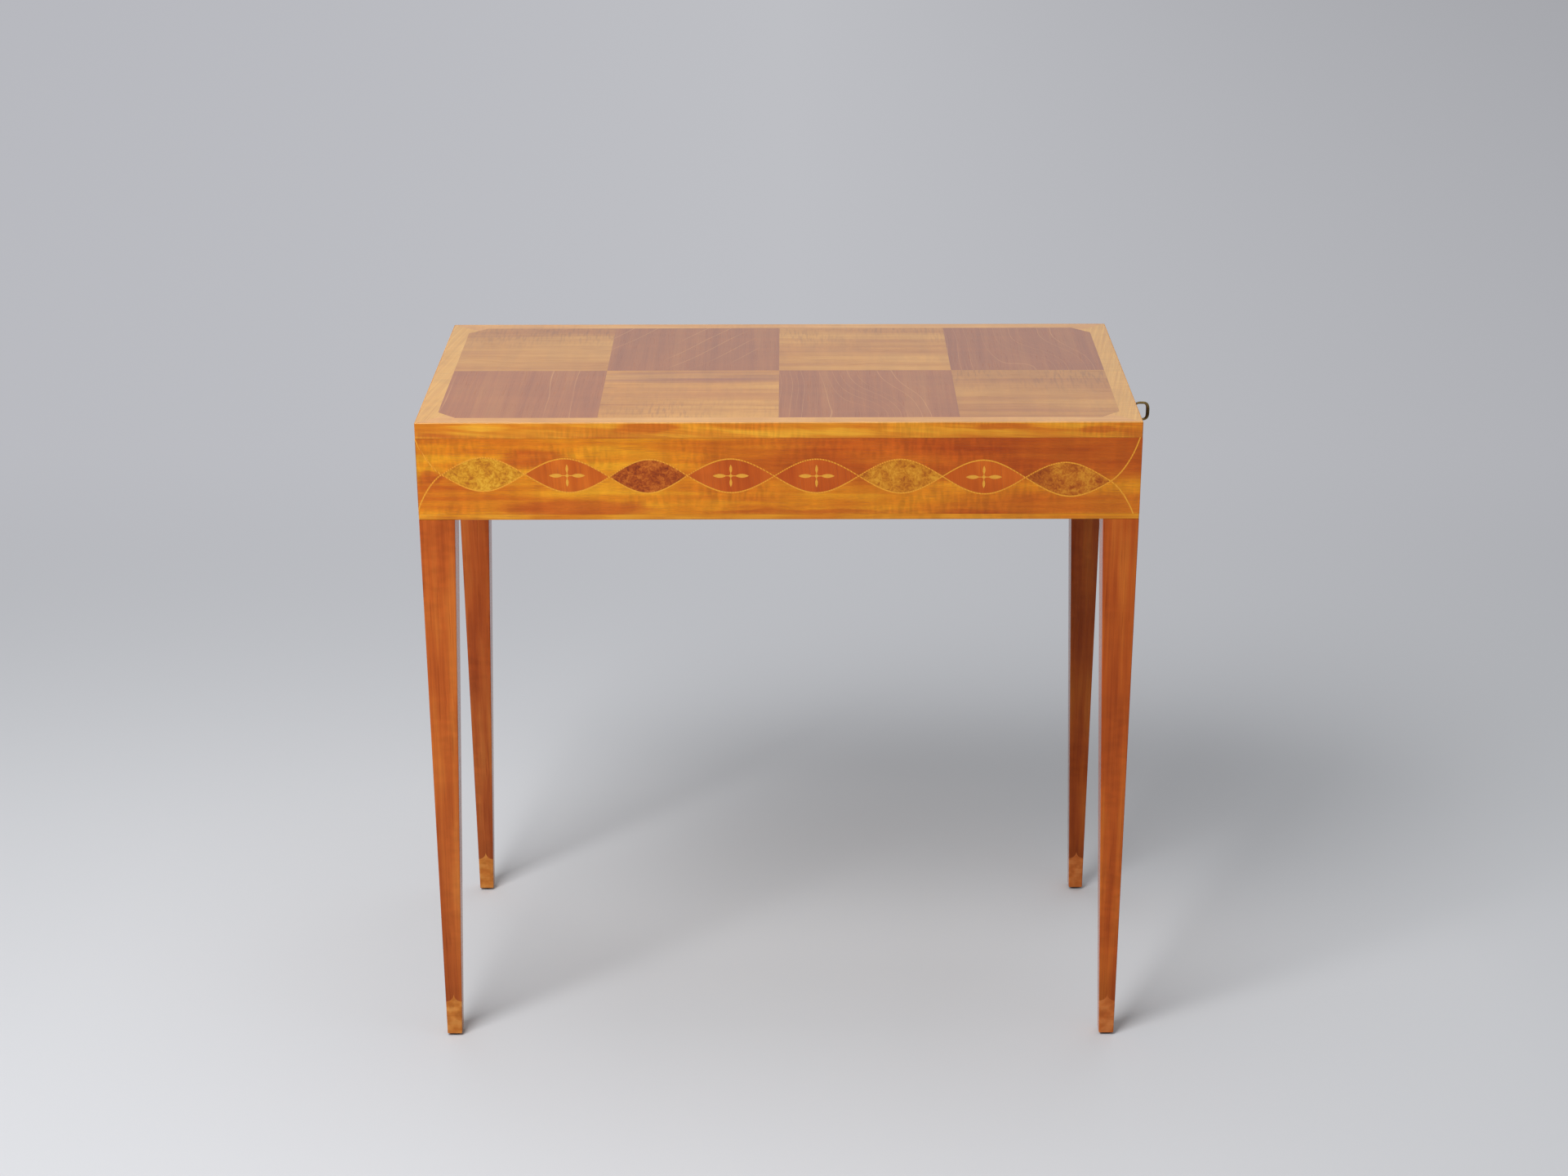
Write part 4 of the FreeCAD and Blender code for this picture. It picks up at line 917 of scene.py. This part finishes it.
upper = shoeTop()
level = np.ones(len(upper))
shoes = []
for end in ends:
    for side in depths:
        rings = [legRing(end, side, level * footRise, leg["sink"]), legRing(end, side, upper, leg["sink"]),
                 legRing(end, side, upper, 0.0)]
        for high in np.linspace(leg["tip"] + leg["aboveTip"], caseBottom, leg["rows"]):
            rings.append(legRing(end, side, level * high, 0.0))
        body = [shell(np.stack(rings)), postShell(end, side)]
        makePiece(f"leg_{side}_{end}_eased", body, "case", materials["leg"],
                  [f"leg_{side}_{end}"])
        low = level * footRise
        arris = leg["shoeArris"]
        section = [legRing(end, side, low + arris, 0.0), legRing(end, side, upper, 0.0),
                   legRing(end, side, upper, leg["sink"]), legRing(end, side, low, leg["sink"]),
                   legRing(end, side, low, arris)]
        shoes.append(shell(np.stack(section, 1), torus=True))
makePiece("shoes_pointed", shoes, "case", materials["shoe"], ["leg_shoes"])
print("legs and shoes made")


turnSteps = 40


def turned(profile, centre, axis):
    # A profile of (distance along the axis, radius) turned about the axis through centre.
    turn = np.linspace(0, 2 * np.pi, turnSteps, endpoint=False)
    first, second = {"X": (1, 2), "Z": (0, 1)}[axis]
    main = 3 - first - second
    points = np.zeros((len(profile), turnSteps, 3)) + np.array(centre)
    points[..., main] += profile[:, :1]
    points[..., first] += profile[:, 1:] * np.cos(turn)
    points[..., second] += profile[:, 1:] * np.sin(turn)
    return shell(points)


# Each glide's height above the floor and radius, in millimetres: the foot, then its nail.
glide = np.array([(0.0, 5.6), (0.1, 6.2), (0.45, 6.75), (1.0, 7.0), (2.6, 7.0), (3.0, 6.8), (3.0, 1.0),
                  (13.6, 1.0), (15.0, 0.25)]) / 1000
footMiddle = leg["lean"] + leg["foot"] / 2
glides = [turned(glide, (*cornerPlace(end, side, footMiddle), 0.0), "Z") for end in ends for side in depths]
makePiece("glides_turned", glides, "case", materials["glide"], ["leg_glides"])

keyLow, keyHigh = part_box("key")
keyLevel = (keyLow.z + keyHigh.z) / 2
key = {
    "wide": 0.019, "tall": 0.023, "thick": 0.003, "arm": 0.0028, "edge": 0.0042, "square": 2.9, "hole": 4.2,
    "section": 2.5, "steps": 96, "around": 18, "shank": 0.0023, "collar": 0.0036, "bit": 0.004,
    "bitReach": 0.006, "bitThick": 0.0024, "bitRows": 4,
}


def superellipse(centre, half, power, turn):
    # |x / a| ** power + |z / b| ** power = 1, walked by angle.
    cosine, sine = np.cos(turn), np.sin(turn)
    return centre + half * np.stack([np.sign(cosine) * np.abs(cosine) ** (2 / power),
                                     np.sign(sine) * np.abs(sine) ** (2 / power)], -1)


def bow():
    # The bow: at each angle an oval section that spans from the outer outline to the hole's.
    turn = np.linspace(0, 2 * np.pi, key["steps"], endpoint=False)
    outerHalf = np.array([key["wide"], key["tall"]]) / 2
    holeHalf = outerHalf - np.array([(key["arm"] + key["edge"]) / 2, key["arm"]])
    outerMiddle = np.array([keyHigh.x - key["wide"] / 2, keyLevel])
    holeMiddle = outerMiddle + np.array([(key["arm"] - key["edge"]) / 2, 0.0])
    outer = superellipse(outerMiddle, outerHalf, key["square"], turn)
    hole = superellipse(holeMiddle, holeHalf, key["hole"], turn)
    around = np.linspace(0, 2 * np.pi, key["around"], endpoint=False)
    roundness = superellipse(np.zeros(2), np.ones(2), key["section"], around)
    flat = (outer + hole)[:, None] / 2 + (outer - hole)[:, None] / 2 * roundness[None, :, :1]
    side = np.broadcast_to(roundness[None, :, 1:] * key["thick"] / 2, (*flat.shape[:2], 1))
    return shell(np.concatenate([flat[..., :1], side, flat[..., 1:]], -1), torus=True)


bowInner = keyHigh.x - key["wide"]
shankLong = bowInner - keyLow.x
# The collar's beads: how far past the bow's inner edge, and the share of the collar's radius.
collarSteps = [
    (-0.0042, 0.8), (-0.0034, 1.0), (-0.0022, 0.98), (-0.0014, 0.78), (-0.0004, 0.86), (0.0006, 0.6),
]
shankProfile = np.array([
    (0.0, key["shank"] * 0.8), (0.0004, key["shank"]), (shankLong - 0.005, key["shank"]),
    *[(shankLong + past, key["collar"] * share) for past, share in collarSteps],
    (shankLong + 0.0024, key["shank"] * 0.7),
])


def bitShell():
    # The bit: a small block that hangs from the shank's end.
    half = np.array([key["bit"], key["bitThick"]]) / 2
    flat = np.array([keyLow.x + key["bit"] / 2, 0.0]) + legSquare * half
    return prism(flat, np.linspace(keyLevel - key["bitReach"], keyLevel, key["bitRows"]))


makePiece("key_cast", [bow(), turned(shankProfile, (keyLow.x, 0.0, keyLevel), "X"), bitShell()], "key",
          materials["keyBrass"], ["key"])
print("glides and key made")

# Each finish, and the nodes that keep their own solids and wear it.
finishes = {
    "lightSquares": ["light_squares"], "darkSquares": ["dark_squares"],
    "borderLong": ["border_front", "border_back"], "borderShort": ["border_left", "border_right"],
    "fieldFront": ["field_veneer_front", "field_veneer_back"],
    "fieldEnds": ["field_veneer_left", "field_veneer_drawer"],
    "stringFront": ["stringing_front"], "stringBack": ["stringing_back"],
    "stringEnds": ["stringing_left", "stringing_drawer"],
    "burlFront": ["burl_lenses_front"], "burlBack": ["burl_lenses_back"],
    "lens": ["cross_lenses_front", "cross_lenses_back"], "lensEnds": ["lenses_left", "lenses_drawer"],
    "carcassLong": ["top_core", "front_rail", "back_rail", "runner_front", "runner_back", "kickers",
                    "drawer_side_front", "drawer_side_back", "drawer_divider"],
    "carcassShort": ["left_end_rail", "drawer_rail", "cross_bearer", "drawer_front", "drawer_back"],
    "ply": ["bottom_panel", "drawer_bottom"],
    "lockBrass": ["lock_case", "lock_bolt", "escutcheon", "strike_plate"],
    "steel": ["lock_screws", "leg_screws", "top_screws"],
}
for finish, names in finishes.items():
    for name in names:
        surfaces = nodes[name].data.materials
        for index in range(len(surfaces)):
            surfaces[index] = materials[finish]
print("nodes dressed:", sum(len(names) for names in finishes.values()))

stage = {
    "reach": 40.0, "near": linear(211, 212, 215), "left": linear(183, 184, 190),
    "middle": linear(190, 191, 196), "right": linear(164, 165, 170), "wide": 4.0,
    "fadeFrom": 0.3, "fadeTo": 2.1, "roundFrom": 2.0, "roundTo": 4.5,
}


def seenDirectly(graph):
    # 1 for what the camera, a reflection or clear glass sees, and 0 for light that falls on things.
    total = graph.add("LightPath", "Is Camera Ray", {})
    rays = total.node.outputs
    for kind in ("Is Glossy Ray", "Is Transmission Ray"):
        total = graph.maths("MAXIMUM", total, rays[kind])
    return total


def makeFloor():
    # A pale sheet that keeps the table's shadow near it and fades into a softly shaded backdrop further away.
    graph = Graph("studio_floor")
    x, y, z = graph.local()
    paper = graph.add("BsdfDiffuse", 0, {"Color": (*stage["near"], 1)})
    shades = [(0.0, stage["left"]), (0.5, stage["middle"]), (1.0, stage["right"])]
    backdrop = graph.ramp(graph.spread(x, -stage["wide"], stage["wide"]), shades)
    glow = graph.add("Emission", 0, {"Color": backdrop})
    distance = graph.maths("SQRT", graph.lengthSquared(x, y))
    behind = graph.spread(y, stage["fadeFrom"], stage["fadeTo"])
    fade = graph.maths("MAXIMUM", behind, graph.spread(distance, stage["roundFrom"], stage["roundTo"]))
    away = graph.times(fade, seenDirectly(graph))
    cover = graph.shown(graph.add("MixShader", 0, {0: away, 1: paper, 2: glow}))
    mesh = bpy.data.meshes.new("floor")
    reach = stage["reach"]
    mesh.from_pydata([(-reach, -reach, 0), (reach, -reach, 0), (reach, reach, 0), (-reach, reach, 0)], [],
                     [(0, 1, 2, 3)])
    mesh.materials.append(cover)
    floor = placed("floor", mesh)


makeFloor()

world = {"fill": (0.95, 1.0, 1.06), "light": 0.212, "backdrop": linear(187, 188, 193)}
lampAim = (caseMid, 0, 0.5)
lamps = {
    "softbox": {"from": (-0.35, -0.52, 0.70), "distance": 3.2, "size": 1.5, "watts": 90.0},
    "overhead": {"from": (0.0, 0.12, 1.0), "distance": 3.4, "size": 3.0, "watts": 46.0},
}


def makeWorld():
    # A dim, even light on the table, and a plain backdrop for what is seen directly.
    graph = Graph("studio", "worlds")
    bpy.context.scene.world = graph.owner
    shades = [graph.add("Background", 0, {"Color": (*colour, 1), "Strength": strength})
              for colour, strength in ((world["fill"], world["light"]), (world["backdrop"], 1.0))]
    blend = graph.add("MixShader", 0, {0: seenDirectly(graph), 1: shades[0], 2: shades[1]})
    graph.shown(blend, "World")


makeWorld()
for name, look in lamps.items():
    lamp = bpy.data.lights.new(name, "AREA")
    lamp.shape = "SQUARE"
    lamp.size = look["size"]
    lamp.energy = look["watts"]
    lampObject = placed(name, lamp)
    aim = Vector(look["from"]).normalized()
    lampObject.location = Vector(lampAim) + aim * look["distance"]
    lampObject.rotation_euler = aim.to_track_quat("Z", "Y").to_euler()

view = {
    "place": (-0.00581, -3.10682, 1.68949), "yaw": -0.0018, "pitch": -0.36652, "roll": -0.00233,
    "lens": 63.753, "sensor": 36.0, "far": 100.0,
}
lens = bpy.data.cameras.new("camera")
lens.lens = view["lens"]
lens.sensor_width = view["sensor"]
lens.clip_end = view["far"]
camera = placed("camera", lens)
turns = [(-view["yaw"], "Z"), (math.pi / 2 + view["pitch"], "X"), (view["roll"], "Z")]
pose = Matrix.Translation(view["place"])
for angle, axis in turns:
    pose = pose @ Matrix.Rotation(angle, 4, axis)
camera.matrix_world = pose
bpy.context.scene.camera = camera
bpy.context.scene.view_settings.view_transform = "Standard"
print("stage, lights and camera set")
